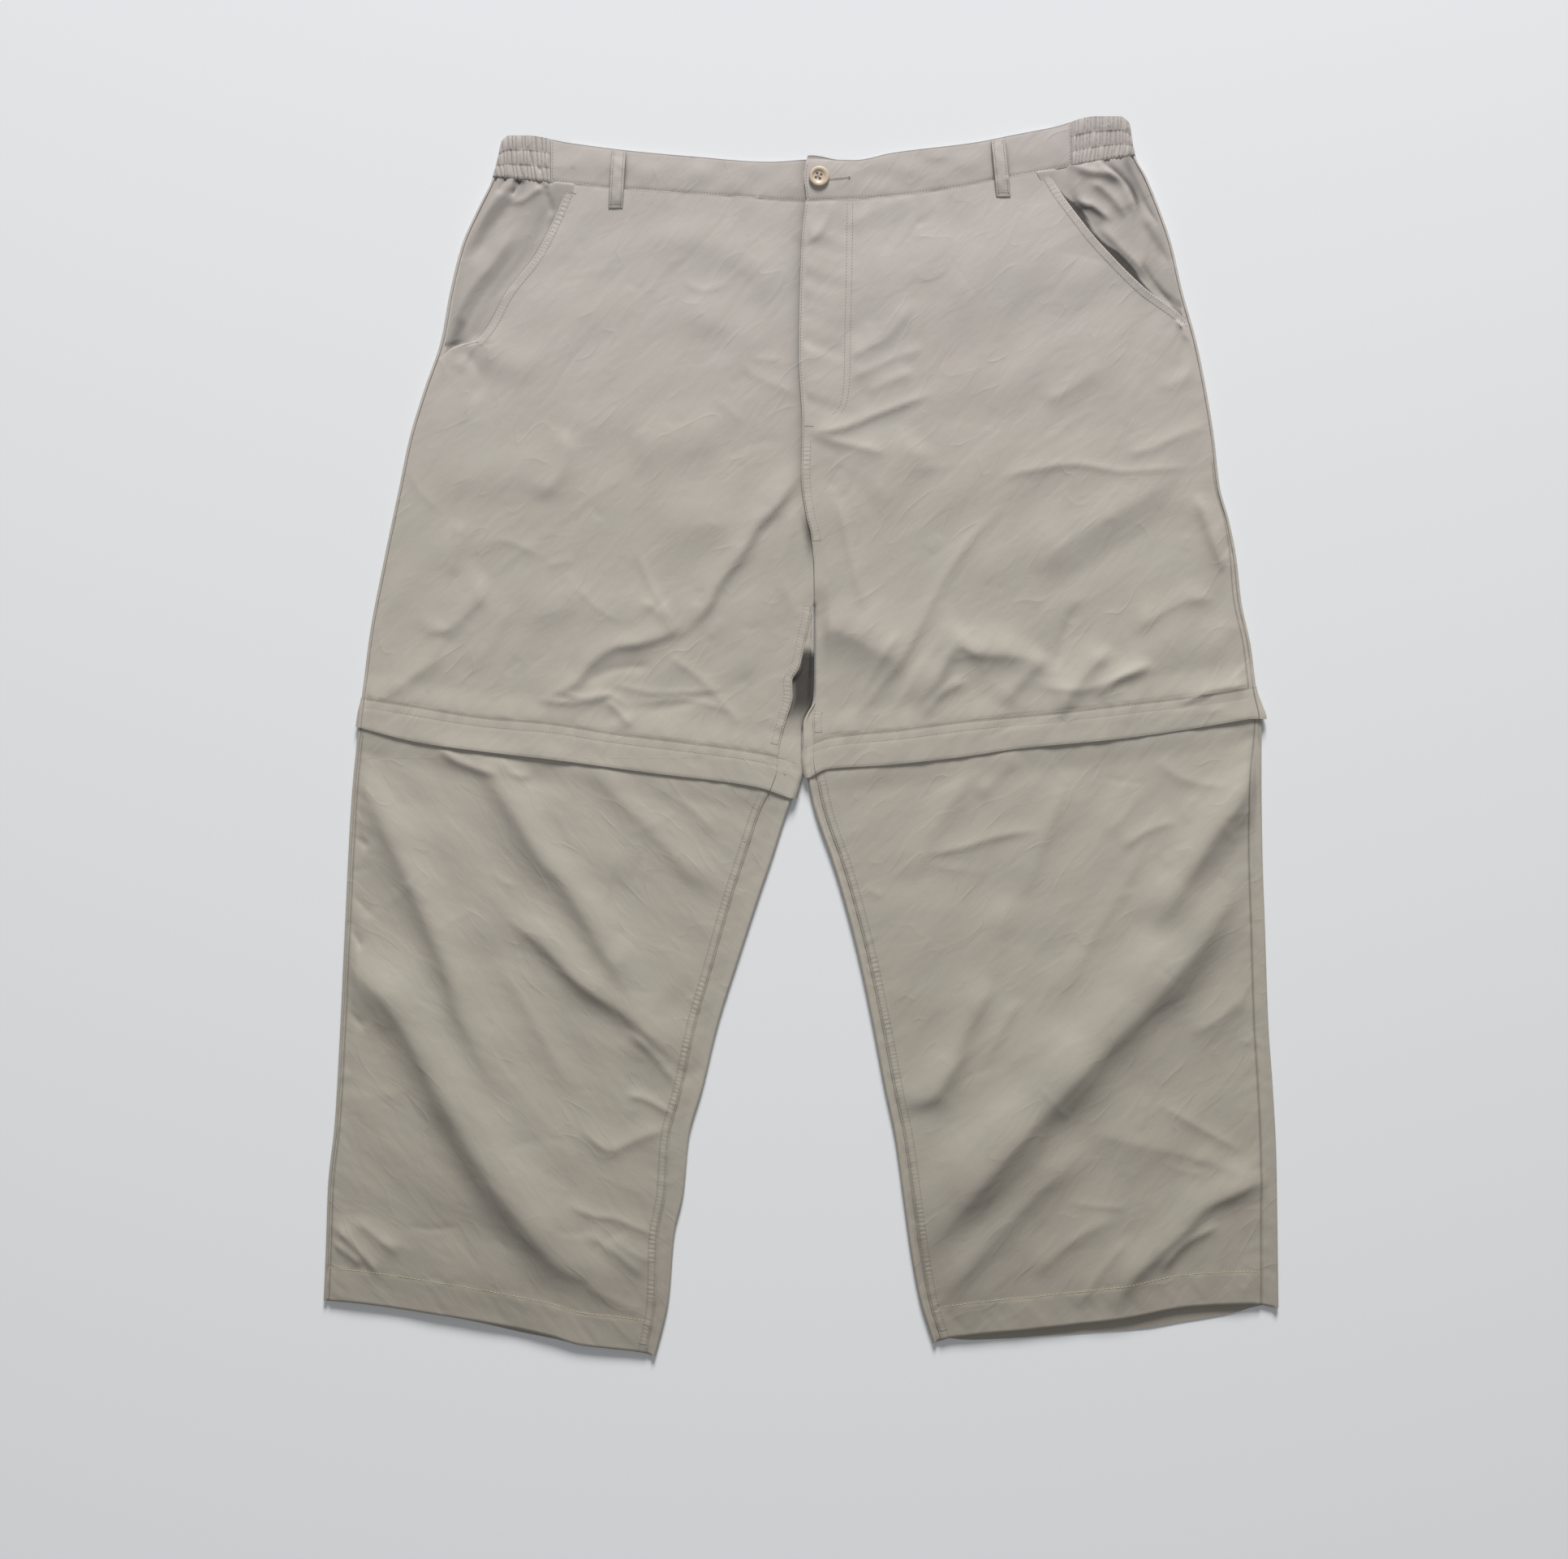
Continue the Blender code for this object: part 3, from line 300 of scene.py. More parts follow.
pocketShades = {  # how dark the painted shade in the hollows of the pocket sides is
    "Right": [
        (0.13, 5, 5, (-246, 490), (-258, 479), (-268, 467), (-280, 452), (-288, 440), (-297, 427)),
        (
            0.10, 5, 5, (-252, 440), (-262, 425), (-272, 410), (-281, 400), (-290, 388), (-298, 376),
            (-303, 362),
        ),
        (0.42, 5, 6, (-299, 371), (-303, 360), (-307, 350), (-311, 342)),
        (0.5, 2, 2, (-256, 492), (-249, 490), (-243, 491)),
        (0.3, 2, 2, (-236, 491), (-229, 487), (-222, 485)),
        (0.15, 2, 2, (-224, 480), (-222, 470), (-219, 462), (-225, 450)),
    ],
    "Left": [
        (0.6, 2.2, 2.2, (266, 510), (276, 502), (284, 495), (291, 487), (296, 477), (299, 463)),
        (0.25, 4, 4, (286, 510), (292, 496), (297, 482), (303, 470)),
        (0.26, 3, 3, (240, 502), (250, 496.5), (258, 494.5), (268, 494), (276, 492), (285, 487)),
        (0.22, 3.5, 3.5, (260, 486), (270, 478), (276, 472), (281, 464), (287, 457)),
        (0.7, 3, 3, (240, 478), (244, 472), (250, 467), (256, 467), (262, 463), (270, 457)),
        (0.25, 4, 4, (303, 456), (311, 442), (317, 432), (322, 424)),
        (0.2, 2.5, 2.5, (300, 418), (310, 405), (320, 393), (332, 379)),
        (0.35, 4, 3, (326, 381), (336, 373), (346, 366)),
    ],
}
rumpleLooks = {
    "strength": 1.3, "crest": 0.26, "crestSize": (0.5, 3.4), "roundFrom": (7, 18), "uneven": 0.24,
    "unevenRun": 40,
    "high": 11, "settle": 0.35,  # cloth above this height settles by this share of it
    "lowest": -0.4, "lowestInside": -1.7,
    # how dark the painted shade under the larger folds is, from which fold height it starts, and its most
    "shade": 0.034, "shadeFrom": 2.2, "shadeMost": 0.3,
    "run": 48, "count": 22,  # the direction and number of the waves
    "waves": [(0.24, 14, 11, 34, 130), (0.03, 5, 12, 9, 24)],  # height, fade at an edge, seed, lengths
    "small": 110, "smallLength": (12, 60), "smallHeight": (0.12, 0.6), "smallWidth": (2.2, 6.0),
    "smallTurn": (50, 30),
}


def curveThrough(rows):
    # a smooth curve through (place, value) rows that never overshoots them
    place, value = np.array(rows, float).T
    step = np.diff(place)
    slope = np.diff(value) / step
    tangent = np.zeros(len(value))
    tangent[0], tangent[-1] = slope[0], slope[-1]
    for k in range(1, len(value) - 1):
        if slope[k - 1] * slope[k] > 0:
            tangent[k] = 2 * slope[k - 1] * slope[k] / (slope[k - 1] + slope[k])

    def read(at):
        at = np.clip(np.asarray(at, float), place[0], place[-1])
        k = np.clip(np.searchsorted(place, at) - 1, 0, len(step) - 1)
        s = (at - place[k]) / step[k]
        start = (1 + 2 * s) * (1 - s) ** 2 * value[k] + s * (1 - s) ** 2 * step[k] * tangent[k]
        end = s * s * (3 - 2 * s) * value[k + 1] + s * s * (s - 1) * step[k] * tangent[k + 1]
        return start + end

    return read


def ramp(value, low, high):
    s = np.clip((np.asarray(value, float) - low) / (high - low), 0, 1)
    return s * s * (3 - 2 * s)


def bump(distance, width):
    return np.exp(-((np.asarray(distance, float) / width) ** 2))


(
    waistTop, waistSeam, flyEdge, centreBack, underlapEdge, lapEdge, flyStitchLine,
) = [curveThrough(rows) for rows in seams.values()]


def makeLeg(name, side, tables):
    # the lines of one leg, each a function of Y, or of X for the flap and the hem
    lines = {key: curveThrough(rows) for key, rows in tables.items() if isinstance(rows, list)}
    leg = SimpleNamespace(name=name, side=side, inward=-side, gape=tables["pocketGape"], **lines)
    leg.pocketLow = tables["pocket"][0][0]
    leg.outseam = lambda y, shift=0.0: leg.outer(y) + leg.inward * (leg.outseamIn(y) + shift)
    leg.inseam = lambda y, shift=0.0: leg.inner(y) - leg.inward * (leg.inseamIn(y) + shift)
    leg.zipHigh = lambda x: 0.5 * (leg.flapTop(x) + leg.flapBottom(x) + tube["zipWidth"]) + tube["gap"]
    leg.zipLow = lambda x: leg.zipHigh(x) - tube["zipWidth"] - 2 * tube["gap"]
    leg.backHem = lambda x: leg.hem(x) - leg.hemDrop(x)
    return leg


right = makeLeg("Right", -1, rightLeg)
left = makeLeg("Left", 1, leftLeg)


def ridges(rows, x, y, soft=False):
    # all the folds of a table together; soft ones are round on both sides, others have a crisp crest
    x, y = np.broadcast_arrays(x, y)
    total = np.zeros(x.shape)
    for number, (height, upper, lower, *places) in enumerate(rows):
        places = np.array(places, float)
        run = places[-1] - places[0]
        length = math.hypot(*run)
        if run[0] < 0:
            places = places[::-1]
            run = -run
        ahead = ((x - places[0, 0]) * run[0] + (y - places[0, 1]) * run[1]) / length**2
        away = ((y - places[0, 1]) * run[0] - (x - places[0, 0]) * run[1]) / length
        near = (ahead > -0.1) & (ahead < 1.1) & (away < 4 * upper + 40) & (away > -4 * lower - 40)
        if not near.any():
            continue
        ahead, away = ahead[near], away[near]
        if len(places) > 2:
            inner = places - places[0]
            off = (inner[:, 1] * run[0] - inner[:, 0] * run[1]) / length
            away = away - curveThrough(np.stack([inner @ run / length**2, off], axis=1))(ahead)
        least, most = rumpleLooks["crestSize"]
        crest = min(max(rumpleLooks["crest"] * lower, least), most)
        width = np.where(away > 0, upper, lower)
        roundFall = (away / width) ** 2
        steepFall = (np.sqrt(away**2 + crest**2) - crest) / width
        share = 1.0 if soft else np.where(away > 0, ramp(upper, *rumpleLooks["roundFrom"]), 0)
        size = height * ramp(ahead, *tube["foldEnd"]) * ramp(1 - ahead, *tube["foldEnd"])
        change = wobble(ahead * length, 200 + number, rumpleLooks["unevenRun"])
        size = size * (1 + rumpleLooks["uneven"] * change)
        total[near] += size * np.exp(-(steepFall + (roundFall - steepFall) * share))
    return total


def wander(x, y, seed, shortest, longest, waves, run=None, spread=0.5):
    # a smooth uneven surface about 1 high, from waves in all directions or mostly across one run
    dice = np.random.default_rng(seed)
    total = np.zeros(np.broadcast(x, y).shape)
    for _ in range(waves):
        length = shortest * (longest / shortest) ** dice.random()
        if run is None:
            turn = dice.random() * math.tau
        else:
            turn = run + math.pi / 2 + spread * dice.standard_normal()
        phase = dice.random() * math.tau
        total = total + np.sin((x * math.cos(turn) + y * math.sin(turn)) * math.tau / length + phase)
    return total / math.sqrt(waves / 2)


def wobble(along, seed, pitch):
    # an uneven line between -1 and 1 that turns about once each pitch
    knotCount = 1024
    dice = np.random.default_rng(seed)
    knots = dice.uniform(-1, 1, knotCount)
    s = np.asarray(along, float) / pitch + 4 * knotCount  # keeps it above zero
    k = np.floor(s).astype(int)
    f = s - k
    f = f * f * (3 - 2 * f)
    return knots[k % knotCount] * (1 - f) + knots[(k + 1) % knotCount] * f


def puckers(along, away, seed, pitch, reach, height, slant=0.0):
    # short creases that run away from a seam, uneven in place, length and depth
    value = wobble(along + slant * away, seed, pitch)
    far = reach * (1 + 0.6 * wobble(along, seed + 1, pitch * 2.3))
    return height * value * np.exp(-np.maximum(away, 0) / far)


def scatterCreases():
    # small creases all over, most of them slanting down to the inseam like the main folds
    dice = np.random.default_rng(57)
    lean, loose = rumpleLooks["smallTurn"]
    rows = []
    for number in range(2 * rumpleLooks["small"]):
        side = -1 if number % 2 else 1
        x, y = side * dice.uniform(10, 405), dice.uniform(-520, 470)
        length = dice.uniform(*rumpleLooks["smallLength"])
        turn = math.radians((lean if dice.random() < 0.75 else -15) + loose * dice.standard_normal())
        mirror = -1 if side < 0 and y < 0 else 1
        runX, runY = mirror * math.cos(turn) * length / 2, math.sin(turn) * length / 2
        bend = 0.12 * dice.standard_normal()
        width = dice.uniform(*rumpleLooks["smallWidth"])
        height = dice.uniform(*rumpleLooks["smallHeight"]) * (1 if dice.random() < 0.6 else -1)
        middle = (x - bend * runY, y + bend * runX)
        rows.append((height, width, width * 0.7, (x - runX, y - runY), middle, (x + runX, y + runY)))
    return rows


def foldShades():
    # painted shade on the lower side of the larger folds, where little light gets down
    rows = []
    for height, upper, lower, *places in folds:
        if height > rumpleLooks["shadeFrom"]:
            dark = min(rumpleLooks["shade"] * height, rumpleLooks["shadeMost"])
            beneath = [(x, y - 0.45 * lower) for x, y in places]
            rows.append((dark, 0.35 * lower + 2, 0.9 * lower, *beneath))
    return rows


smallCreases = scatterCreases()
shadedFolds = foldShades()


def edgeDistances(leg, x, y):
    outer = (x - leg.outer(y)) * leg.inward
    inner = (leg.inner(np.minimum(y, tube["crotchY"])) - x) * leg.inward
    above = np.maximum(y - tube["crotchY"], 0)
    return outer, np.sqrt(np.maximum(inner, 0) ** 2 + above**2)


def liftOf(leg, x, y):
    # the panels rise over the flap that runs under them
    overTop = leg.flapTop(x) + tube["liftMargin"] - y
    overBottom = y - leg.flapBottom(x) + tube["liftMargin"]
    return tube["lift"] * ramp(overTop, -tube["liftRun"], 0) * ramp(overBottom, -tube["liftRun"], 0)


def fineRelief(leg, x, y, flat):
    # the small creases and uneven waves; below the knee those of the right leg slant the other way
    fine = ridges(smallCreases, x, y) * ramp(flat, 0, 5)
    run, count = math.radians(rumpleLooks["run"]), rumpleLooks["count"]
    for size, reach, seed, shortest, longest in rumpleLooks["waves"]:
        rough = wander(x, y, seed, shortest, longest, count, run)
        if leg is right:
            slanted = wander(x, y, seed, shortest, longest, count, -run)
            rough = rough + (slanted - rough) * (1 - ramp(y, -20, 20))
        fine = fine + size * ramp(flat, 0, reach) * rough
    return fine


def topHeight(leg, x, y):
    # the outer face of the top layer, as in the solids, with the finer creases on it
    radius = tube["edgeRadius"]
    near = np.minimum(*edgeDistances(leg, x, y))
    flat = np.clip(near - radius, 0, None)
    bend = np.clip(radius - near, 0, radius)
    drop = radius - np.sqrt(radius**2 - bend**2)
    puff = tube["puff"] * (1 - np.exp(-flat / tube["puffReach"]))
    inside = ramp(flat, 0, tube["foldFade"])
    folded = ridges(swells, x, y, soft=True) * inside + ridges(folds, x, y) * ramp(flat, 0, 12)
    folded = folded * rumpleLooks["strength"]
    waist = ramp(y, waistSeam(x) - tube["waistRiseRun"], waistSeam(x))
    rise = 2 * (waistband["radius"] - radius) * waist
    fine = fineRelief(leg, x, y, flat)
    relief = (puff + folded) * (1 - tube["waistFlatten"] * waist) + fine * (1 - 0.45 * waist)
    # troughs stay clear of the fly zip, the flap and the folded sides
    overFly = ramp(x, -14, -6) * (1 - ramp(x, 48, 60)) * ramp(y, 140, 160)
    room = ramp(flat, 6, 16) * (1 - ramp(liftOf(leg, x, y), 0, 0.4)) * (1 - overFly)
    relief = np.maximum(relief, rumpleLooks["lowest"] + rumpleLooks["lowestInside"] * room)
    relief = relief - rumpleLooks["settle"] * np.maximum(relief - rumpleLooks["high"], 0)
    return liftOf(leg, x, y) + 2 * radius + relief + rise - drop


# Finishes. The cloth is a plain-woven taupe nylon. Its colour runs paler at the waist than at the hems,
# partly the cloth's own tone and partly painted light: the sheen and falloff of the lamp beyond the waist.
clothLooks = {
    "tones": [  # height up the garment, and the colour there, painted light included
        (-560, (0.328, 0.300, 0.255)), (-300, (0.408, 0.378, 0.323)), (-60, (0.443, 0.411, 0.358)),
        (150, (0.448, 0.418, 0.371)), (420, (0.496, 0.460, 0.434)), (540, (0.508, 0.463, 0.450)),
    ],
    "warm": (0.505, 0.425, 0.372), "cool": (0.430, 0.434, 0.368), "patchSize": 46, "patchAmount": 0.12,
    "roughness": 0.62, "specular": 0.32, "sheen": 0.12, "sheenRoughness": 0.45, "yarn": 0.42, "weave": 0.035,
    "crinkleScale": 58.0, "crinkle": 0.62,
}
crinkleLooks = {
    "drawnOut": 2.4, "layers": [(1.0, 1.0), (3.1, 0.22)],  # scale and height of each layer
    "pathScale": 0.55, "sharpness": 34.0, "placesScale": 0.4, "places": (0.46, 0.62), "creaseHeight": 0.34,
}
marks = [  # specks and scuffs: X, Y, how far each way, and how dark
    (-201.5, 502, 1.2, 1.2, 0.5), (119, 509, 16, 3.4, 0.16), (-96, 512, 1.1, 1.1, 0.5),
    (-39, 477, 1.3, 1.0, -0.3), (-47, 442, 1.4, 1.0, 0.2), (-113, 106, 8, 14, 0.10),
    (240, -330, 3.0, 2.0, 0.12), (-260, -420, 2.4, 2.0, 0.12), (330, -240, 1.8, 1.4, 0.16),
    (-330, 40, 2.0, 1.4, 0.14),
]


def feed(tree, socket, value):
    # a number or a colour is set, and another node's output is linked
    if isinstance(value, bpy.types.NodeSocket):
        tree.links.new(value, socket)
    elif isinstance(value, tuple) and socket.type == "RGBA":
        socket.default_value = (*value, 1)
    else:
        socket.default_value = value


def addNode(tree, kind, group=None, **inputs):
    made = tree.nodes.new(f"ShaderNode{kind}")
    if group:
        made.node_tree = group
    for label, value in inputs.items():
        feed(tree, made.inputs[label.replace("_", " ")], value)
    return made.outputs


def mathNode(tree, operation, *values):
    made = tree.nodes.new("ShaderNodeMath")
    made.operation = operation
    for socket, value in zip(made.inputs, values):
        feed(tree, socket, value)
    return made.outputs[0]


def shifted(tree, place, shift):
    made = tree.nodes.new("ShaderNodeVectorMath")
    made.operation = "ADD"
    feed(tree, made.inputs[0], place)
    feed(tree, made.inputs[1], shift)
    return made.outputs[0]


def mixColour(tree, factor, first, second, blend="MIX"):
    made = tree.nodes.new("ShaderNodeMix")
    made.data_type = "RGBA"
    made.blend_type = blend
    for place, value in ((0, factor), (6, first), (7, second)):
        feed(tree, made.inputs[place], value)
    return made.outputs[2]


def noiseAt(tree, place, scale, detail=2.0, distortion=0.0):
    return addNode(tree, "TexNoise", Vector=place, Scale=scale, Detail=detail, Distortion=distortion)[0]


def rangeOf(tree, value, fromRange=(0, 1), toRange=(0, 1)):
    (low, high), (toLow, toHigh) = fromRange, toRange
    return addNode(tree, "MapRange", Value=value, From_Min=low, From_Max=high, To_Min=toLow, To_Max=toHigh)[0]


def reliefOf(tree, height, distance, strength=1.0, **under):
    return addNode(tree, "Bump", Strength=strength, Distance=distance * mm, Height=height, **under)[0]


def newGroup(name, inputs, *outputs):
    tree = bpy.data.node_groups.new(name, "ShaderNodeTree")
    for label, value in inputs.items():
        kind = "NodeSocketColor" if isinstance(value, tuple) else "NodeSocketFloat"
        tree.interface.new_socket(label, in_out="INPUT", socket_type=kind).default_value = value
    for label in outputs:
        kind = "NodeSocketColor" if label == "Color" else "NodeSocketFloat"
        tree.interface.new_socket(label, in_out="OUTPUT", socket_type=kind)
    return tree, tree.nodes.new("NodeGroupInput").outputs, tree.nodes.new("NodeGroupOutput").inputs


def buildWeaveGroup():
    # a plain weave: warp and weft rise in turn, a little uneven
    tree, given, out = newGroup("plainWeave", {"Yarn": 0.4, "Slub": 0.3}, "Height")
    place = addNode(tree, "TexCoord")["Object"]
    cut = addNode(tree, "SeparateXYZ", Vector=place)
    turns = mathNode(tree, "DIVIDE", math.pi / mm, given["Yarn"])
    warp = mathNode(tree, "SINE", mathNode(tree, "MULTIPLY", cut["X"], turns))
    weft = mathNode(tree, "SINE", mathNode(tree, "MULTIPLY", cut["Y"], turns))
    slub = mathNode(tree, "MULTIPLY", noiseAt(tree, place, 900, 1), given["Slub"])
    feed(tree, out["Height"], mathNode(tree, "ADD", mathNode(tree, "MULTIPLY", warp, weft), slub))
    return tree


def buildCrinkleGroup():
    # fine creases too small for the mesh, drawn out along the folds of each leg
    tree, given, out = newGroup("clothCrinkle", {"Scale": 60.0}, "Height")
    cut = addNode(tree, "SeparateXYZ", Vector=addNode(tree, "TexCoord")["Object"])
    onRight = mathNode(tree, "LESS_THAN", cut["X"], 0.0)
    onLower = mathNode(tree, "LESS_THAN", cut["Y"], -20 * mm)
    turnedOver = mathNode(tree, "MULTIPLY", mathNode(tree, "MULTIPLY", onRight, onLower), -2.0)
    mirror = mathNode(tree, "ADD", turnedOver, 1.0)
    mirrored = addNode(tree, "CombineXYZ", X=mathNode(tree, "MULTIPLY", cut["X"], mirror), Y=cut["Y"])[0]
    mapping = tree.nodes.new("ShaderNodeMapping")
    mapping.vector_type = "TEXTURE"
    feed(tree, mapping.inputs["Rotation"], (0, 0, math.radians(rumpleLooks["run"])))
    feed(tree, mapping.inputs["Scale"], (crinkleLooks["drawnOut"], 1, 1))
    feed(tree, mapping.inputs["Vector"], mirrored)
    turned = mapping.outputs[0]

    def scaled(times):
        return mathNode(tree, "MULTIPLY", given["Scale"], times)

    heights = []
    for times, amount in crinkleLooks["layers"]:
        heights.append(mathNode(tree, "MULTIPLY", noiseAt(tree, turned, scaled(times), 2.0, 0.7), amount))
    # thin creases where a noise crosses its middle, in some places only
    paths = noiseAt(tree, turned, scaled(crinkleLooks["pathScale"]), 1.0, 0.4)
    fromLine = mathNode(tree, "ABSOLUTE", mathNode(tree, "SUBTRACT", paths, 0.5))
    crease = mathNode(tree, "POWER", mathNode(tree, "SUBTRACT", 1.0, fromLine), crinkleLooks["sharpness"])
    where = noiseAt(tree, mirrored, scaled(crinkleLooks["placesScale"]), 1.0)
    crease = mathNode(tree, "MULTIPLY", crease, rangeOf(tree, where, crinkleLooks["places"]))
    crease = mathNode(tree, "MULTIPLY", crease, crinkleLooks["creaseHeight"])
    feed(tree, out["Height"], mathNode(tree, "ADD", mathNode(tree, "ADD", *heights), crease))
    return tree


def buildToneGroup():
    # the cloth's colour: paler up the garment, partly painted light, in soft warm and cool patches, darkened
    # by wear and painted shade along the seams and in hollows, and by stains
    white = (1, 1, 1, 1)
    tree, given, out = newGroup(
        "clothTone", {"Warm": white, "Cool": white, "Patch Size": 40, "Patch Amount": 0.1, "Shade": 1.0},
        "Color", "Worn",
    )
    place = addNode(tree, "TexCoord")["Object"]
    low, high = clothLooks["tones"][0][0], clothLooks["tones"][-1][0]
    up = addNode(tree, "SeparateXYZ", Vector=place)["Y"]
    tones = tree.nodes.new("ShaderNodeValToRGB")
    tones.color_ramp.interpolation = "EASE"
    stops = tones.color_ramp.elements
    while len(stops) < len(clothLooks["tones"]):
        stops.new(0.5)
    for stop, (height, colour) in zip(stops, clothLooks["tones"]):
        stop.position = (height - low) / (high - low)
        stop.color = (*colour, 1)
    feed(tree, tones.inputs[0], rangeOf(tree, up, (low * mm, high * mm)))
    scale = mathNode(tree, "DIVIDE", 1 / mm, given["Patch Size"])
    patches = []
    for shift, detail in ((0.0, 3.0), (7.3, 2.0)):
        moved = shifted(tree, place, (shift, -shift, 0))
        soft = rangeOf(tree, noiseAt(tree, moved, scale, detail), (0.36, 0.64))
        patches.append(mathNode(tree, "MULTIPLY", soft, given["Patch Amount"]))
    colour = mixColour(tree, patches[0], tones.outputs[0], given["Warm"])
    colour = mixColour(tree, patches[1], colour, given["Cool"])
    grain = mathNode(tree, "MULTIPLY", noiseAt(tree, place, 1400), 0.10)
    shade = mathNode(tree, "MULTIPLY", mathNode(tree, "ADD", grain, 0.95), given["Shade"])
    # the first mask darkens the colour with wear and with painted shade, the second with stains
    for label in ("seamWear", "stain"):
        mask = tree.nodes.new("ShaderNodeAttribute")
        mask.attribute_name = label
        shade = mathNode(tree, "MULTIPLY", shade, mathNode(tree, "SUBTRACT", 1.0, mask.outputs["Fac"]))
    grey = addNode(tree, "CombineColor", Red=shade, Green=shade, Blue=shade)[0]
    feed(tree, out["Color"], mixColour(tree, 1.0, colour, grey, "MULTIPLY"))
    feed(tree, out["Worn"], mathNode(tree, "ADD", patches[0], mask.outputs["Fac"]))
    return tree


weaveGroup = buildWeaveGroup()
crinkleGroup = buildCrinkleGroup()
toneGroup = buildToneGroup()


def blankMaterial(name, roughness, specular=0.5):
    made = bpy.data.materials.new(name)
    made.use_nodes = True
    shader = made.node_tree.nodes["Principled BSDF"].inputs
    shader["Roughness"].default_value = roughness
    shader["Specular IOR Level"].default_value = specular
    return made, made.node_tree, shader


def clothMaterial(name, shade=1.0, yarn=1.0):
    made, tree, shader = blankMaterial(name, clothLooks["roughness"], clothLooks["specular"])
    tone = addNode(
        tree, "Group", toneGroup, Warm=clothLooks["warm"], Cool=clothLooks["cool"],
        Patch_Size=clothLooks["patchSize"], Patch_Amount=clothLooks["patchAmount"], Shade=shade,
    )
    feed(tree, shader["Base Color"], tone["Color"])
    roughest = (clothLooks["roughness"] - 0.04, clothLooks["roughness"] + 0.10)
    feed(tree, shader["Roughness"], rangeOf(tree, tone["Worn"], toRange=roughest))
    weave = addNode(tree, "Group", weaveGroup, Yarn=clothLooks["yarn"] * yarn, Slub=0.5)["Height"]
    woven = reliefOf(tree, weave, clothLooks["weave"], 0.6)
    crinkle = addNode(tree, "Group", crinkleGroup, Scale=clothLooks["crinkleScale"])["Height"]
    feed(tree, shader["Normal"], reliefOf(tree, crinkle, clothLooks["crinkle"], Normal=woven))
    feed(tree, shader["Sheen Weight"], clothLooks["sheen"])
    feed(tree, shader["Sheen Roughness"], clothLooks["sheenRoughness"])
    return made


def threadMaterial(name, light, dark, pitch=0.8):
    # twisted thread: slanting strands, a little fuzzy in colour
    made, tree, shader = blankMaterial(name, 0.7, 0.3)
    place = addNode(tree, "TexCoord")["Object"]
    wave = tree.nodes.new("ShaderNodeTexWave")
    wave.bands_direction = "DIAGONAL"
    for label, value in (("Scale", 0.314 / (pitch * mm)), ("Distortion", 2.0), ("Vector", place)):
        feed(tree, wave.inputs[label], value)
    twist = wave.outputs["Fac"]
    blend = mathNode(tree, "MULTIPLY", twist, noiseAt(tree, place, 240))
    feed(tree, shader["Base Color"], mixColour(tree, blend, dark, light))
    feed(tree, shader["Normal"], reliefOf(tree, twist, 0.05))
    return made


def buttonMaterial():
    # cream moulded resin, a little cloudy, with fine scratches
    made, tree, shader = blankMaterial("buttonResin", 0.34)
    place = addNode(tree, "TexCoord")["Object"]
    cloud = noiseAt(tree, place, 130, 4)
    feed(tree, shader["Base Color"], mixColour(tree, cloud, (0.52, 0.42, 0.32), (0.64, 0.54, 0.43)))
    scratch = noiseAt(tree, place, 900)
    feed(tree, shader["Roughness"], rangeOf(tree, scratch, toRange=(0.26, 0.46)))
    feed(tree, shader["Normal"], reliefOf(tree, scratch, 0.02))
    return made


def zipMaterial():
    # woven tape, and the coil teeth on it
    made, tree, shader = blankMaterial("zipTape", 0.6, 0.4)
    weave = addNode(tree, "Group", weaveGroup, Yarn=0.9, Slub=0.4)["Height"]
    feed(tree, shader["Base Color"], mixColour(tree, weave, (0.16, 0.145, 0.12), (0.24, 0.22, 0.185)))
    feed(tree, shader["Normal"], reliefOf(tree, weave, 0.12))
    return made


finishes = {
    "shell": clothMaterial("nylonShell"),
    "lower": clothMaterial("nylonLowerLeg", 0.97),
    # the pocket sides' cloth is set darker: painted shade, as they lie sunk under the elastic
    "pocket": clothMaterial("nylonPocketSide", 0.86),
    "flap": clothMaterial("nylonFlap", 0.95),
    "band": clothMaterial("nylonWaistband", 0.95, 0.9),
    "thread": threadMaterial("taupeThread", (0.40, 0.365, 0.30), (0.28, 0.25, 0.20)),
    "paleThread": threadMaterial("strawThread", (0.62, 0.55, 0.36), (0.44, 0.38, 0.24)),
    "oliveThread": threadMaterial("oliveThread", (0.42, 0.39, 0.27), (0.25, 0.23, 0.14)),
    "buttonThread": threadMaterial("greyThread", (0.62, 0.56, 0.53), (0.42, 0.37, 0.35)),
    # the shank thread is near black: painted shade that shows in the button's holes
    "shankThread": threadMaterial("brownThread", (0.10, 0.08, 0.065), (0.05, 0.04, 0.03)),
    "button": buttonMaterial(),
    "zip": zipMaterial(),
}
print("finishes ready")


# Mesh making
def gridPart(x, y, z, flip=False):
    return {"points": np.stack(np.broadcast_arrays(x, y, z), axis=-1).astype(float), "flip": flip}


def gridFaces(part):
    # the points that faces use, and the faces; a point that is not a number is left out
    points = part["points"]
    rows, columns = points.shape[:2]
    known = ~np.isnan(points[..., 2])
    i, j = np.meshgrid(np.arange(rows - 1), np.arange(columns - 1), indexing="ij")
    whole = known[i, j] & known[i + 1, j] & known[i + 1, j + 1] & known[i, j + 1]
    i, j = i[whole], j[whole]
    number = np.arange(rows * columns).reshape(rows, columns)
    faces = np.stack([number[i, j], number[i + 1, j], number[i + 1, j + 1], number[i, j + 1]], axis=1)
    if part["flip"]:
        faces = faces[:, ::-1]
    used, faces = np.unique(faces, return_inverse=True)
    return points.reshape(-1, 3)[used], faces.reshape(-1, 4)


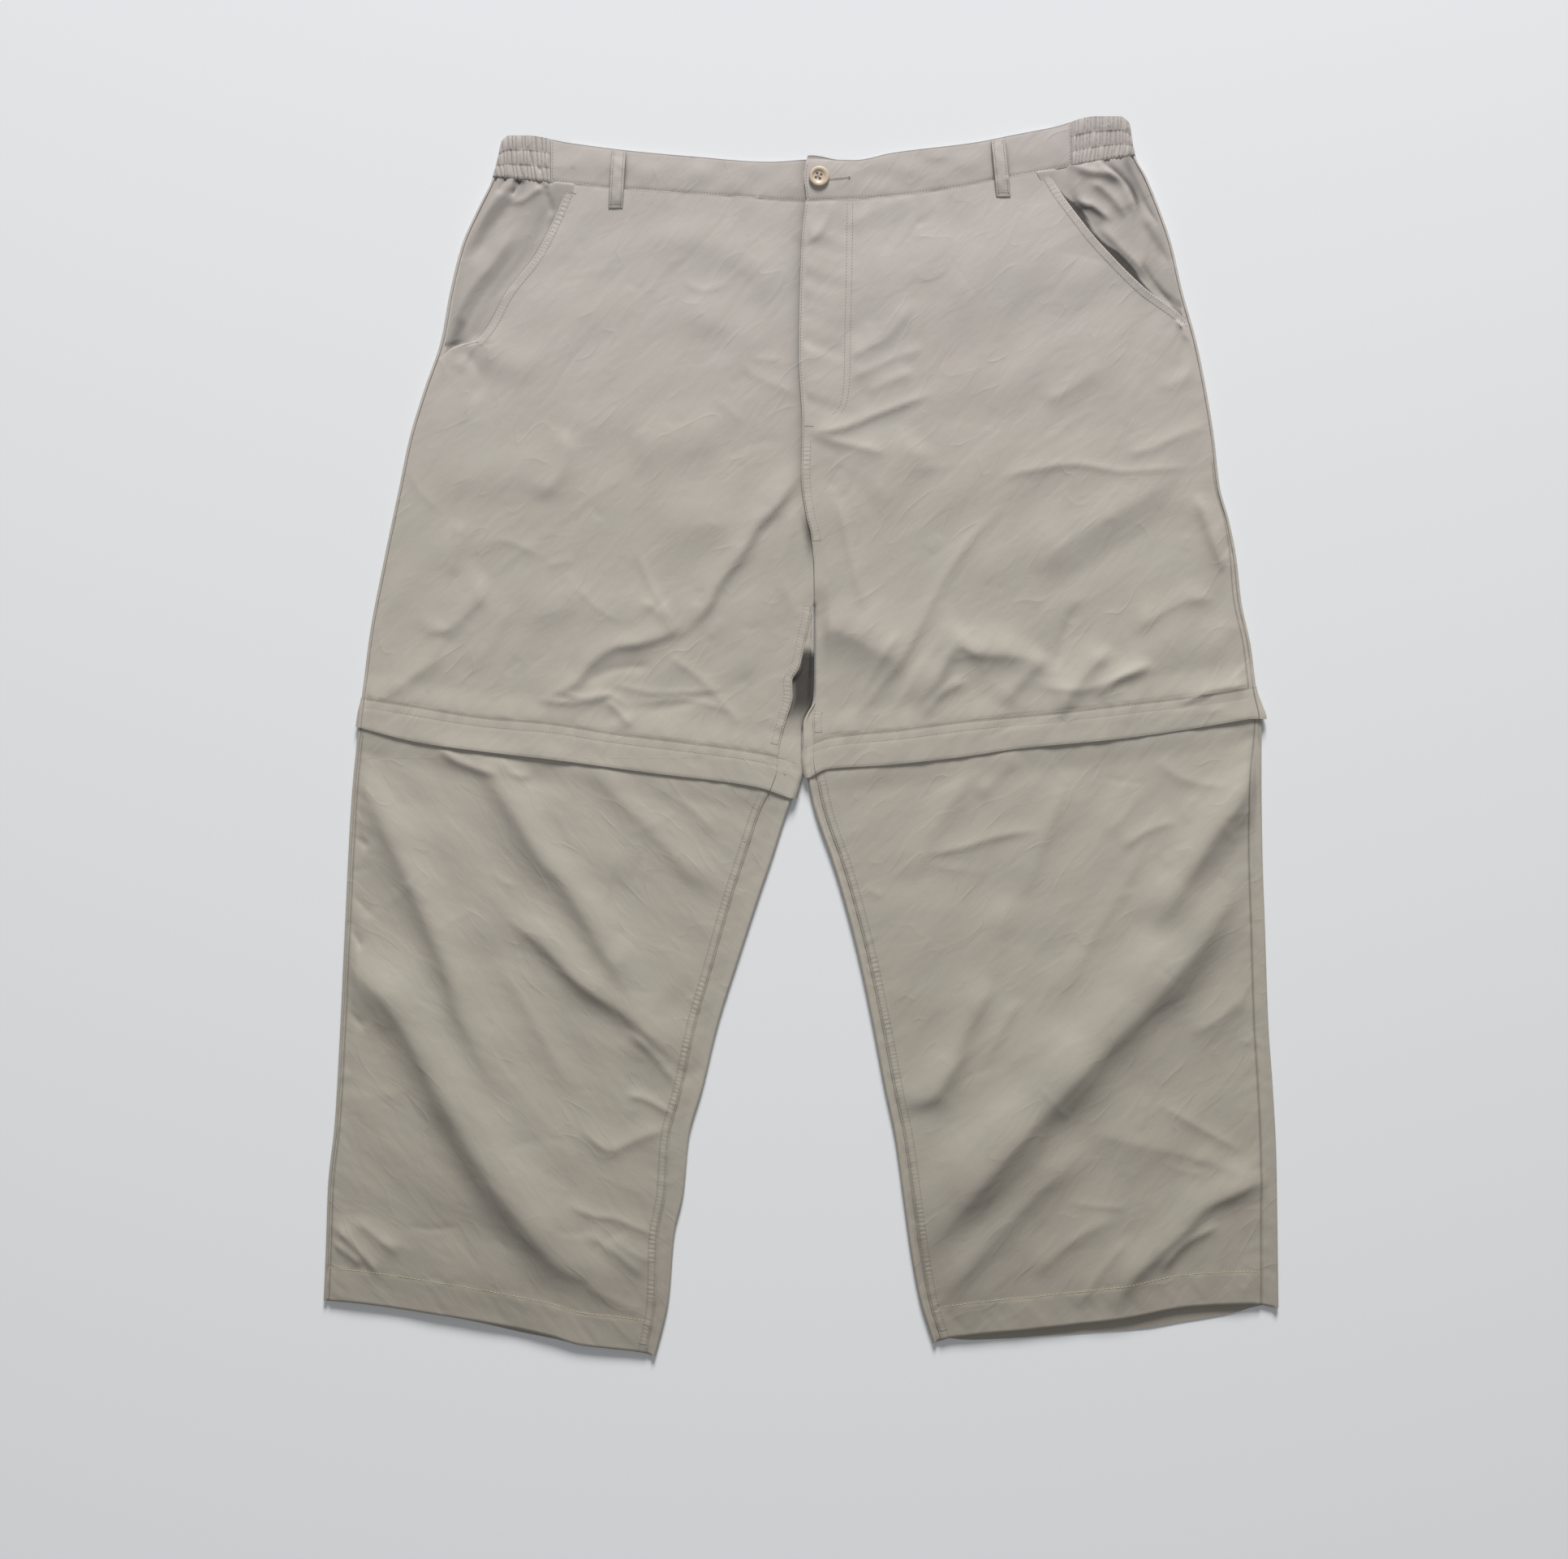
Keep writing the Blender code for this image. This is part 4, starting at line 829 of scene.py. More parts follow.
def meshObject(name, points, faces, finish):
    mesh = bpy.data.meshes.new(name)
    mesh.from_pydata((np.asarray(points) * mm).tolist(), [], [list(map(int, face)) for face in faces])
    mesh.validate()
    mesh.shade_smooth()
    mesh.materials.append(finishes[finish])
    made = bpy.data.objects.new(name, mesh)
    bpy.context.scene.collection.objects.link(made)
    return made


def settle(piece, angle=48):
    # applies the modifiers and keeps the cut edges crisp
    view = bpy.context.evaluated_depsgraph_get()
    mesh = bpy.data.meshes.new_from_object(piece.evaluated_get(view))
    piece.modifiers.clear()
    piece.data = mesh
    mesh.shade_smooth()
    mesh.set_sharp_from_angle(angle=math.radians(angle))


def stainAt(x, y):
    total = np.zeros(len(x))
    for markX, markY, wide, high, dark in marks:
        total += dark * np.exp(-(((x - markX) / wide) ** 2 + ((y - markY) / high) ** 2))
    return total


def addMasks(piece, wearAndShadeAt):
    mesh = piece.data
    places = np.empty(len(mesh.vertices) * 3)
    mesh.vertices.foreach_get("co", places)
    x, y = (places.reshape(-1, 3).T / mm)[:2]
    # the first mask holds wear and painted shade, the second real stains
    for label, values in (("seamWear", wearAndShadeAt(x, y)), ("stain", stainAt(x, y))):
        mask = mesh.attributes.new(label, "FLOAT", "POINT")
        mask.data.foreach_set("value", np.asarray(values, float))


def clothPiece(name, parts, finish, wall=tube["cloth"], wearAndShadeAt=lambda x, y: 0 * x):
    # one piece of cloth with its wall; frontRight stands for the solid front_right, and so on
    points, faces, count = [], [], 0
    for part in parts:
        partPoints, partFaces = gridFaces(part)
        points.append(partPoints)
        faces.append(partFaces + count)
        count += len(partPoints)
    piece = meshObject(name, np.concatenate(points), np.concatenate(faces), finish)
    solid = piece.modifiers.new("wall", "SOLIDIFY")
    solid.thickness = wall * mm
    solid.offset = -1
    settle(piece)
    addMasks(piece, wearAndShadeAt)
    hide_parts(re.sub("([A-Z])", r"_\1", name).lower())
    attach(piece, "root")
    return piece


def spread(length, step, edgeStep, edgeRun):
    # places from 0 to 1, closer together near both ends
    edge = np.arange(0, edgeRun, edgeStep)
    middle = np.linspace(edgeRun, length - edgeRun, max(2, round((length - 2 * edgeRun) / step)))
    return np.concatenate([edge, middle, length - edge[::-1]]) / length


def crossing(rowAt, shares, line):
    # where each row, which gives Y from X, crosses a line, which gives X from Y
    x = line(np.zeros(len(shares)))
    for _ in range(16):
        x = line(rowAt(x, shares))
    return x


def rowsBetween(high, low):
    return lambda x, share: high(x) + (low(x) - high(x)) * share


def panelPlaces(rowAt, shares, fromLine, toLine, columns):
    fromX = crossing(rowAt, shares, fromLine)
    toX = crossing(rowAt, shares, toLine)
    x = fromX[:, None] + (toX - fromX)[:, None] * columns[None, :]
    return x, rowAt(x, shares[:, None])


# The outer faces of the panels
frontLooks = {
    "gutter": 0.12, "gutterRun": 1.6, "underBand": 1.8, "underDrop": 2.4, "seamGroove": 0.25,
    "grooveRun": 0.9, "edgeRoll": 0.5, "edgeRun": 0.8, "waistPucker": 0.55, "flapPucker": 0.8,
    "sidePucker": 0.35, "flapDip": 0.6, "gapeReach": 12, "lapStep": 2.2, "lapFade": (36, 62),
    "lapEnd": (96, 138), "stitchSink": 0.2, "flySink": 0.1, "flyPucker": 1.0,
    "sideShown": {"Right": (0, 20), "Left": (240, 262)},  # the side seam shows below these heights
}
flapLooks = {
    "step": 1.5, "start": 0.5, "rise": 15, "sideStand": 1.4, "wall": 1.1, "edgeRoll": 0.35,
    "firstRow": 1.8, "secondRow": 8.6, "pucker": 0.4, "rows": (28, 1.5, 0.7, 3),
    "columns": (310, 1.9, 0.8, 8),
}
hemLooks = {"depth": 29, "raise": 0.45, "roping": 0.32, "pucker": 0.35, "roll": 1.0, "rollRun": 1.6}
# how dark the painted shade is beside the fly's lap and how far it reaches, in the wedge beside the fly and
# in the crotch hollow; depth is how far the crotch hollow sinks
hollows = {"lap": 0.36, "lapRun": 5.0, "wedge": 0.7, "wedgeY": 178, "crotch": 0.86, "depth": 3.4}
pocketMouthShade = {  # painted shade in the open pocket mouths: how dark, and by height up the garment how far it reaches outward
    "Right": {"dark": 0.4, "reach": [(338, 0), (350, 1.2), (400, 0.8), (440, 0.8), (476, 0)]},
    "Left": {"dark": 0.82, "reach": [
        (388, 0), (396, 3), (404, 5), (412, 9), (420, 10), (428, 9.5), (436, 5), (446, 3.6), (453, 5.5),
        (461, 8), (471, 6), (478, 2), (483, 0),
    ]},
}


def pocketDistance(leg, x, y):
    # square to the slanting pocket edge, inward of it
    lean = (leg.pocket(y + 1) - leg.pocket(y - 1)) / 2
    return (x - leg.pocket(y)) * leg.inward / np.sqrt(1 + lean**2)


def crotchHollow(x, y):
    # where the right leg's back shows, deep between the right inseam and the left front
    past = x - right.inseam(y)
    return ramp(past, -0.4, 2.0) * ramp(y, -4, 34) * (1 - ramp(y, 70, 78)) * (x < 13)


def seamGrooves(leg, x, y):
    outside = (x - leg.outseam(y)) * leg.inward
    inside = (leg.inseam(y) - x) * leg.inward
    below = y < tube["crotchY"]
    shown = 1 - ramp(y, *frontLooks["sideShown"][leg.name])
    groove = shown * bump(outside, frontLooks["grooveRun"]) + below * bump(inside, frontLooks["grooveRun"])
    groove = groove * frontLooks["seamGroove"]
    pull = shown * puckers(y, np.abs(outside), 31 + leg.side, 7.5, 9, frontLooks["sidePucker"], 0.4)
    pull = pull + below * puckers(y, np.abs(inside), 35 + leg.side, 6.5, 10, frontLooks["sidePucker"], -0.5)
    return pull - groove


def underBand(fromWaist):
    # a panel dips beside the waistband and runs on under its edge
    gutter = frontLooks["gutter"] * bump(fromWaist, frontLooks["gutterRun"])
    return gutter + frontLooks["underDrop"] * ramp(-fromWaist, -0.3, 1.3)


def frontOuter(leg, x, y):
    height = topHeight(leg, x, y)
    fromWaist = waistSeam(x) - y
    height = height - underBand(fromWaist)
    height = height + puckers(x, fromWaist, 21 + leg.side, 7, 13, frontLooks["waistPucker"])
    fromFlap = y - leg.flapTop(x)
    height = height - frontLooks["flapDip"] * ramp(fromFlap, 0.4, -1.0) * (1 - ramp(fromFlap, -2, -9))
    height = height + puckers(x, fromFlap, 24 + leg.side, 7, 11, frontLooks["flapPucker"]) * (fromFlap > -1)
    above = y > leg.pocketLow
    middle = np.sin(math.pi * (y - leg.pocketLow) / (waistSeam(x) - leg.pocketLow))
    beside = np.maximum((x - leg.pocket(y)) * leg.inward, 0)
    height = height + above * leg.gape * np.maximum(middle, 0) * np.exp(-beside / frontLooks["gapeReach"])
    fromPocket = pocketDistance(leg, x, y)
    height = height - above * frontLooks["edgeRoll"] * bump(fromPocket, frontLooks["edgeRun"])
    height = height + np.where(above, 0, seamGrooves(leg, x, y))
    if leg is left:
        lapped = 1 - ramp(x, *frontLooks["lapFade"])
        height = height + frontLooks["lapStep"] * lapped * ramp(y, *frontLooks["lapEnd"])
        sink = bump(x - flyStitchLine(y) + 1, 1.2) + bump(x - flyStitchLine(y) - 4, 1.2)
        edge = bump(x - flyEdge(y), frontLooks["edgeRun"]) * (y > tube["crotchY"])
        height = height - frontLooks["flySink"] * sink * ramp(y, 278, 290) - frontLooks["edgeRoll"] * edge
        fromLap = x - flyEdge(y)
        pull = puckers(y, fromLap, 28, 11, 26, frontLooks["flyPucker"], 0.35) * ramp(fromLap, 1, 8)
        height = height + pull * ramp(y, 262, 290) * (1 - ramp(x, 44, 62))
    return height


def lowerOuter(leg, x, y):
    height = topHeight(leg, x, y) + seamGrooves(leg, x, y)
    fromFlap = leg.flapBottom(x) - y
    height = height + puckers(x, fromFlap + 14, 27 + leg.side, 11, 16, frontLooks["flapPucker"])
    fromHem = y - leg.hem(x)
    turned = 1 - ramp(fromHem, hemLooks["depth"] - 0.6, hemLooks["depth"] + 1.2)
    height = height + hemLooks["raise"] * turned
    height = height - frontLooks["stitchSink"] * bump(fromHem - hemLooks["depth"], 1.3)
    inHem = np.sin(math.pi * np.clip(fromHem / hemLooks["depth"], 0, 1))
    height = height + hemLooks["roping"] * inHem * wobble(x + 0.7 * fromHem, 41 + leg.side, 7)
    drawn = puckers(x, fromHem - hemLooks["depth"], 43 + leg.side, 8, 9, hemLooks["pucker"])
    height = height + drawn * (fromHem > hemLooks["depth"])
    return height - hemLooks["roll"] * (1 - ramp(fromHem, 0, hemLooks["rollRun"]))


def flapOut(leg, x, y):
    down = leg.flapTop(x) - y
    deep = leg.flapTop(x) - leg.flapBottom(x)
    rise = flapLooks["start"] + (flapLooks["step"] - flapLooks["start"]) * ramp(down, 0, flapLooks["rise"])
    return rise + leg.flapStand(x) * ramp(down / deep, 0.35, 1.0)


def flapOuter(leg, x, y):
    down = leg.flapTop(x) - y
    deep = leg.flapTop(x) - leg.flapBottom(x)
    height = topHeight(leg, x, y) + flapOut(leg, x, y)
    height = height + puckers(x, down, 24 + leg.side, 7, 11, frontLooks["flapPucker"])
    height = height + puckers(x, deep - down, 54 + leg.side, 15, 12, flapLooks["pucker"])
    sink = bump(down - flapLooks["firstRow"], 0.8) + bump(down - flapLooks["secondRow"], 0.9)
    height = height - frontLooks["stitchSink"] * sink
    return height - flapLooks["edgeRoll"] * bump(deep - down, 1.2)


def flapSeamPaintedShadeAt(leg):
    # painted shade at the top seam and along its first row of stitches, and faintly along the second
    def wearAndShadeAt(x, y):
        down = leg.flapTop(x) - y
        darkening = 0.35 * bump(down, 0.6) + 0.12 * bump(down - flapLooks["firstRow"], 0.5)
        return darkening + 0.06 * bump(down - flapLooks["secondRow"], 0.6)

    return wearAndShadeAt


def pocketOuter(leg, x, y):
    outside = (leg.pocket(np.maximum(y, leg.pocketLow)) - x) * leg.inward
    fromWaist = waistSeam(x) - y
    height = topHeight(leg, x, y) - 1.3 * (1 - ramp(outside, 6, 18)) * ramp(fromWaist, 2, 30)
    height = height - underBand(fromWaist) + puckers(x, fromWaist, 61 + leg.side, 6, 15, 1.2)
    inEdge = ramp((x - leg.outer(y)) * leg.inward, 4, 12) * ramp(outside, -2, 3)
    return np.maximum(height + ridges(pocketFolds[leg.name], x, y) * inEdge, 2.4)


def seamWearAndShadeAt(leg):
    # the cloth is darker along its sewn edges, partly wear and partly painted shade in the seam lines, with
    # painted shade in the hollows of the fly and the crotch and under the larger folds
    def wearAndShadeAt(x, y):
        side = np.abs(x - leg.outseam(y)) + 100 * ramp(y, *frontLooks["sideShown"][leg.name])
        inside = np.abs(x - leg.inseam(y)) + 100 * (y > tube["crotchY"])
        across = np.minimum(np.abs(waistSeam(x) - y), np.abs(y - leg.hem(x) - hemLooks["depth"]))
        near = np.minimum(inside, across)
        darkening = 0.06 * np.exp(-near / 2.2) * (0.6 + 0.4 * wobble(y + x, 71, 9)) + 0.5 * bump(side, 0.6)
        rows = bump(inside - 1.6, 0.7) + bump(inside - 7.0, 0.7)
        darkening = darkening + 0.28 * bump(waistSeam(x) - y, 0.9) + ridges(shadedFolds, x, y, soft=True)
        darkening = darkening + 0.16 * rows * ((leg.inseam(y) - x) * leg.inward > 0) * (y < -20)
        if leg is left:
            return darkening
        # painted shade beside the fly's lap, in the wedge beside it and in the crotch hollow
        beside = flyEdge(y) - x
        lap = hollows["lap"] * np.exp(-np.abs(beside) / hollows["lapRun"]) * ramp(y, 196, 250)
        wedge = hollows["wedge"] * bump(y - hollows["wedgeY"], 17) * bump(beside - 1, 4.5)
        return darkening + lap + wedge + hollows["crotch"] * crotchHollow(x, y)

    return wearAndShadeAt


def pocketPaintedShadeAt(leg):
    # painted shade just inside the pocket's mouth, where it stands open, in the hollows of the pocket side
    # and under the elastic's tucks
    looks = pocketMouthShade[leg.name]
    reachAt = curveThrough(looks["reach"])

    def wearAndShadeAt(x, y):
        outside = (leg.pocket(np.maximum(y, leg.pocketLow)) - x) * leg.inward
        reach = reachAt(y)
        darkening = looks["dark"] * ramp(reach - outside, -1.4, 1.4) * (reach > 0)
        darkening = darkening + ridges(pocketShades[leg.name], x, y, soft=True)
        tucks = 0.5 + 0.5 * wobble(x, 141 + leg.side, 4)
        darkening = darkening + 0.5 * tucks * np.exp(-np.abs(waistSeam(x) - y) / 1.6) * ramp(outside, 12, 20)
        return np.minimum(darkening, 0.85)

    return wearAndShadeAt


def loopMiddle(leg, y):
    # the middle line of a belt loop, and how far down the loop it is
    (topX, topY), (bottomX, bottomY) = beltLoops["ends"][leg.name]
    share = np.clip((topY - y) / (topY - bottomY), 0, 1)
    return topX + (bottomX - topX) * share, share


def bandPaintedShadeAt(x, y, lapped=False):
    # painted shadow beside the lap and the belt loops, and painted shade along the top edge and at the foot
    darkening = 0 * x
    top = waistTop(x)
    if lapped:
        rise, fromX, toX = waistband["lapRise"]
        top = top + rise * (1 - ramp(x, fromX, toX))
    else:
        darkening = hollows["lap"] * np.exp(-np.abs(lapEdge(y) - x) / hollows["lapRun"]) * (x < lapEdge(y) + 0.5)
    for leg, sides in ((right, (0.15, 0.5)), (left, (0.4, 0.45))):
        topY = beltLoops["ends"][leg.name][0][1]
        middle = loopMiddle(leg, y)[0]
        for side, dark in zip((-1, 1), sides):
            beside = (x - middle) * side - beltLoops["width"] / 2
            darkening = darkening + dark * np.exp(-np.maximum(beside, 0) / 1.5) * (beside > -3) * ramp(topY - y, -2, 8)
    return darkening + 0.6 * bump(top - y, 1.0) + 0.3 * bump(y - waistSeam(x), 0.6)


def loopPaintedShadeAt(leg):
    # painted shade along its edges, its stitch lines and its lower end
    def wearAndShadeAt(x, y):
        middle = loopMiddle(leg, y)[0]
        bottomY = beltLoops["ends"][leg.name][1][1]
        edge = beltLoops["width"] / 2 - np.abs(x - middle)
        darkening = 0.45 * bump(edge, 0.45) + 0.14 * bump(edge - beltLoops["stitchIn"], 0.5)
        return darkening + 0.25 * bump(y - bottomY, 0.5)

    return wearAndShadeAt


# Curves along the seams, for strips and stitches
def downSeam(line, fromY, toY, step=1.2):
    y = np.linspace(fromY, toY, max(3, round(abs(fromY - toY) / step)))
    return line(y), y


def crossSeam(row, fromX, toX, step=1.2):
    x = np.linspace(fromX, toX, max(3, round(abs(toX - fromX) / step)))
    return x, row(x)


def offsetLine(curve, amount):
    # moves a curve to the left of its run; down a leg, that is towards +X
    x, y = curve
    runX, runY = np.gradient(x), np.gradient(y)
    length = np.hypot(runX, runY)
    return x - runY / length * amount, y + runX / length * amount


def runLength(curve):
    return np.concatenate([[0], np.cumsum(np.hypot(np.diff(curve[0]), np.diff(curve[1])))])


stripLooks = {"start": 0.5, "raise": 0.22, "ladder": 0.36, "pitch": 3.7, "columns": 9, "slant": 0.16}


def seamStrip(curve, side, width, heightAt, seed, ladder=1.0):
    # a flat-felled seam: an extra layer beside the seam, drawn up into small rungs between its stitches
    along = runLength(curve)
    share = np.linspace(0, 1, stripLooks["columns"])
    offsets = stripLooks["start"] + (width - stripLooks["start"]) * share
    lines = [offsetLine(curve, side * offset) for offset in offsets]
    x = np.stack([line[0] for line in lines], axis=1)
    y = np.stack([line[1] for line in lines], axis=1)
    pitch = stripLooks["pitch"] * (1 + 0.25 * wobble(along, seed, 23))
    turns = np.cumsum(np.gradient(along) / pitch) * math.tau
    strength = stripLooks["ladder"] * ladder * (0.5 + 0.5 * wobble(along, seed + 1, 17))
    waves = np.sin(turns[:, None] + stripLooks["slant"] * offsets[None, :])
    rungs = strength[:, None] * waves * np.sin(math.pi * share)[None, :]
    body = ramp(share, 0, 0.14) * ramp(1 - share, 0, 0.14)
    z = heightAt(x, y) + 0.04 + stripLooks["raise"] * body[None, :] + rungs
    return gridPart(x, y, z, flip=side < 0)


threadLooks = {"pitch": 2.7, "length": 2.0, "width": 0.44, "rise": 0.26, "sink": 0.12}
stitchRuns = {"thread": [], "paleThread": [], "oliveThread": [], "zip": []}


def sewAlong(curve, heightAt, kind="thread", pitch=None, length=None, lift=0.0, slip=0.0, seed=1):
    # a run of stitches: for each one its two ends, on the cloth
    pitch = pitch or threadLooks["pitch"]
    length = length or threadLooks["length"]
    along = runLength(curve)
    count = int(along[-1] / pitch)
    if count < 1:
        return
    starts = (np.arange(count) + 0.5) * along[-1] / count - length / 2
    dice = np.random.default_rng(seed)
    ends = []
    for shift in (0, length):
        place = starts + shift
        x = np.interp(place, along, curve[0]) + dice.uniform(-slip, slip, count)
        y = np.interp(place, along, curve[1]) + dice.uniform(-slip, slip, count)
        ends.append(np.stack([x, y, heightAt(x, y) + lift], axis=1))
    stitchRuns[kind].append((ends[0], ends[1]))


def sewBars(ends, heightAt, kind="thread", lift=0.0):
    # separate stitches, each from one place to another, as in a bar tack or a buttonhole
    ends = np.asarray(ends, float)
    made = []
    for k in (0, 2):
        x, y = ends[:, k], ends[:, k + 1]
        made.append(np.stack([x, y, heightAt(x, y) + lift], axis=1))
    stitchRuns[kind].append(tuple(made))


def barTack(fromPoint, toPoint, width, heightAt, kind="thread", lift=0.0, pitch=0.75):
    # a bar tack: close stitches across a short line
    (fromX, fromY), (toX, toY) = fromPoint, toPoint
    length = math.hypot(toX - fromX, toY - fromY)
    runX, runY = (toX - fromX) / length, (toY - fromY) / length
    rows = []
    for k in range(max(2, round(length / pitch))):
        place = (k + 0.5) * pitch
        midX, midY = fromX + runX * place, fromY + runY * place
        rows.append((
            midX - runY * width / 2, midY + runX * width / 2,
            midX + runY * width / 2, midY - runX * width / 2,
        ))
    sewBars(rows, heightAt, kind, lift)


def stitchObject(name, kind, width):
    # every stitch is a small spindle of thread: a point, two square rings and a point
    starts = np.concatenate([run[0] for run in stitchRuns[kind]])
    ends = np.concatenate([run[1] for run in stitchRuns[kind]])
    run = ends - starts
    length = np.linalg.norm(run, axis=1, keepdims=True)
    along = run / np.maximum(length, 1e-6)
    up = np.array([0.0, 0.0, 1.0])
    side = np.cross(up, along)
    side = side / np.maximum(np.linalg.norm(side, axis=1, keepdims=True), 1e-6)
    rise = threadLooks["rise"]
    rings = []
    for share in (0.22, 0.78):
        middle = starts + run * share + up * (rise * 0.35)
        for across, high in ((1, 0), (0, 1), (-1, 0), (0, -1)):
            rings.append(middle + side * (across * width / 2) + up * (high * rise * 0.65))
    tips = [starts - up * threadLooks["sink"], ends - up * threadLooks["sink"]]
    points = np.stack([tips[0], *rings, tips[1]], axis=1)
    spindle = []
    for k in range(4):
        after = (k + 1) % 4
        spindle += [[0, 1 + k, 1 + after], [1 + k, 5 + k, 5 + after, 1 + after], [9, 5 + after, 5 + k]]
    count = points.shape[1]
    faces = [[k + n * count for k in face] for n in range(len(points)) for face in spindle]
    piece = meshObject(name, points.reshape(-1, 3), faces, kind)
    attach(piece, "root")
    return piece


# The panels of each leg
panelLooks = {  # a spread is a length, its step, the step near both ends and how far that goes
    "upper": {"rows": (480, 2.3, 1.0, 6), "backRows": (480, 3.0, 1.0, 6)},
    "lower": {"rows": (520, 2.3, 1.0, 6), "backRows": (520, 3.0, 1.0, 6)},
    "columns": (310, 2.3, 1.0, 12), "stripColumns": 6, "foldSteps": 9, "underColumns": 26, "dent": 0.5,
}
felledSeams = {"width": 8.2, "pocketWidth": 7.4, "flyWidth": 8.6, "firstRow": 1.3, "lastRow": 1.0}
waistPocket = {"Right": 481, "Left": 496}
pocketLadder = {"Right": 1.5, "Left": 1.0}
seamUnder = {"tuck": 2.0, "drop": 1.15, "run": (-0.3, 0.5), "over": -0.25}


def upperRow(leg):
    return rowsBetween(lambda x: waistSeam(x) + frontLooks["underBand"], leg.zipHigh)


def outerLineOf(leg):
    return lambda y: np.where(y > leg.pocketLow, leg.pocket(y), leg.outseam(y, seamUnder["over"]))


def innerLineOf(leg):
    centre = flyEdge if leg is left else underlapEdge
    return lambda y: np.where(y < tube["crotchY"], leg.inseam(y, seamUnder["over"]), centre(y))


def stripCurves(leg, upper):
    # the felled seams of a front, as curves with the side and width of each
    if not upper:
        lowY = leg.hem(leg.inner(-540)) + hemLooks["depth"] - 18
        inseam = downSeam(leg.inseam, -62 if leg is right else -40, lowY)
        return [(inseam, -leg.inward, felledSeams["width"], 1.0)]
    inseam = downSeam(leg.inseam, 24, 3) if leg is left else downSeam(leg.inseam, 115, -8)
    pocket = downSeam(leg.pocket, waistPocket[leg.name], leg.pocketLow + 16)
    found = [
        (inseam, -leg.inward, felledSeams["width"], 1.0),
        (pocket, leg.inward, felledSeams["pocketWidth"], pocketLadder[leg.name]),
    ]
    if leg is left:
        found.append((downSeam(flyEdge, 262, 172), 1, felledSeams["flyWidth"], 0.8))
    return found


def seamLines(leg):
    # the outseam and the inseam, with the little that a front laps past them
    over = seamUnder["over"]
    return lambda y: leg.outseam(y, over), lambda y: leg.inseam(y, over)


def legPiece(leg, upper, kind, parts):
    # a front or a back, above or below the leg zip
    name = f"{kind.lower() if upper else 'lower' + kind}{leg.name}"
    finish, slot = ("shell", "shell") if upper else ("lower", "lower_leg")
    return clothPiece(name, parts, finish, wearAndShadeAt=seamWearAndShadeAt(leg))


def makeFront(leg, upper):
    shares = spread(*panelLooks["upper" if upper else "lower"]["rows"])
    columns = spread(*panelLooks["columns"])
    rowAt = upperRow(leg) if upper else rowsBetween(leg.zipLow, leg.hem)
    heightAt = partial(frontOuter if upper else lowerOuter, leg)
    lines = (outerLineOf(leg), innerLineOf(leg)) if upper else seamLines(leg)
    x, y = panelPlaces(rowAt, shares, *lines, columns)
    parts = [gridPart(x, y, heightAt(x, y), flip=leg is left)]
    raised = lambda x, y: heightAt(x, y) + stripLooks["raise"] * 0.6
    for number, (curve, side, width, ladder) in enumerate(stripCurves(leg, upper)):
        parts.append(seamStrip(curve, side, width, heightAt, 80 + 7 * number, ladder))
        for away in (felledSeams["firstRow"], width - felledSeams["lastRow"]):
            sewAlong(offsetLine(curve, side * away), raised, lift=0.05)
    under = "back" if upper else "lowerBack"
    return legPiece(leg, upper, "Front", parts), [under + leg.name]


def sideColumns(leg, rowAt, shares, edgeX, inward, outAt, stand, down):
    # the round side fold: half a turn from the top down, or from the underside up
    radius = tube["edgeRadius"]
    turns = np.radians(np.linspace(90, -90, panelLooks["foldSteps"] + 1))
    columns = []
    for turn in turns if down else turns[::-1]:
        flatX = edgeX + inward * radius
        flatY = rowAt(flatX, shares)
        out = outAt(flatX, flatY)
        x = flatX - inward * (radius + out * stand) * math.cos(turn)
        y = rowAt(x, shares)
        low = liftOf(leg, flatX, y) - (flapLooks["step"] if stand else 0)
        high = topHeight(leg, flatX, y) + out
        columns.append((x, y, (high + low) / 2 + (high - low) / 2 * math.sin(turn)))
    return columns


def tuckedAt(leg, outerAt):
    # past a seam, a back's edge runs on just under the front
    def heightAt(x, y):
        past = np.minimum((leg.outseam(y) - x) * leg.inward, (x - leg.inseam(y)) * leg.inward)
        side = (leg.outseam(y) - x) * leg.inward
        plain = ramp(y, *frontLooks["sideShown"][leg.name]) * (side < (x - leg.inseam(y)) * leg.inward)
        height = outerAt(x, y) - 0.1 * plain
        height = height - (seamUnder["drop"] - 0.1 * plain) * ramp(-past - 0.9 * plain, *seamUnder["run"])
        if leg is right:
            height = np.maximum(height - hollows["depth"] * crotchHollow(x, y), np.minimum(height, 1.3))
        return height

    return heightAt


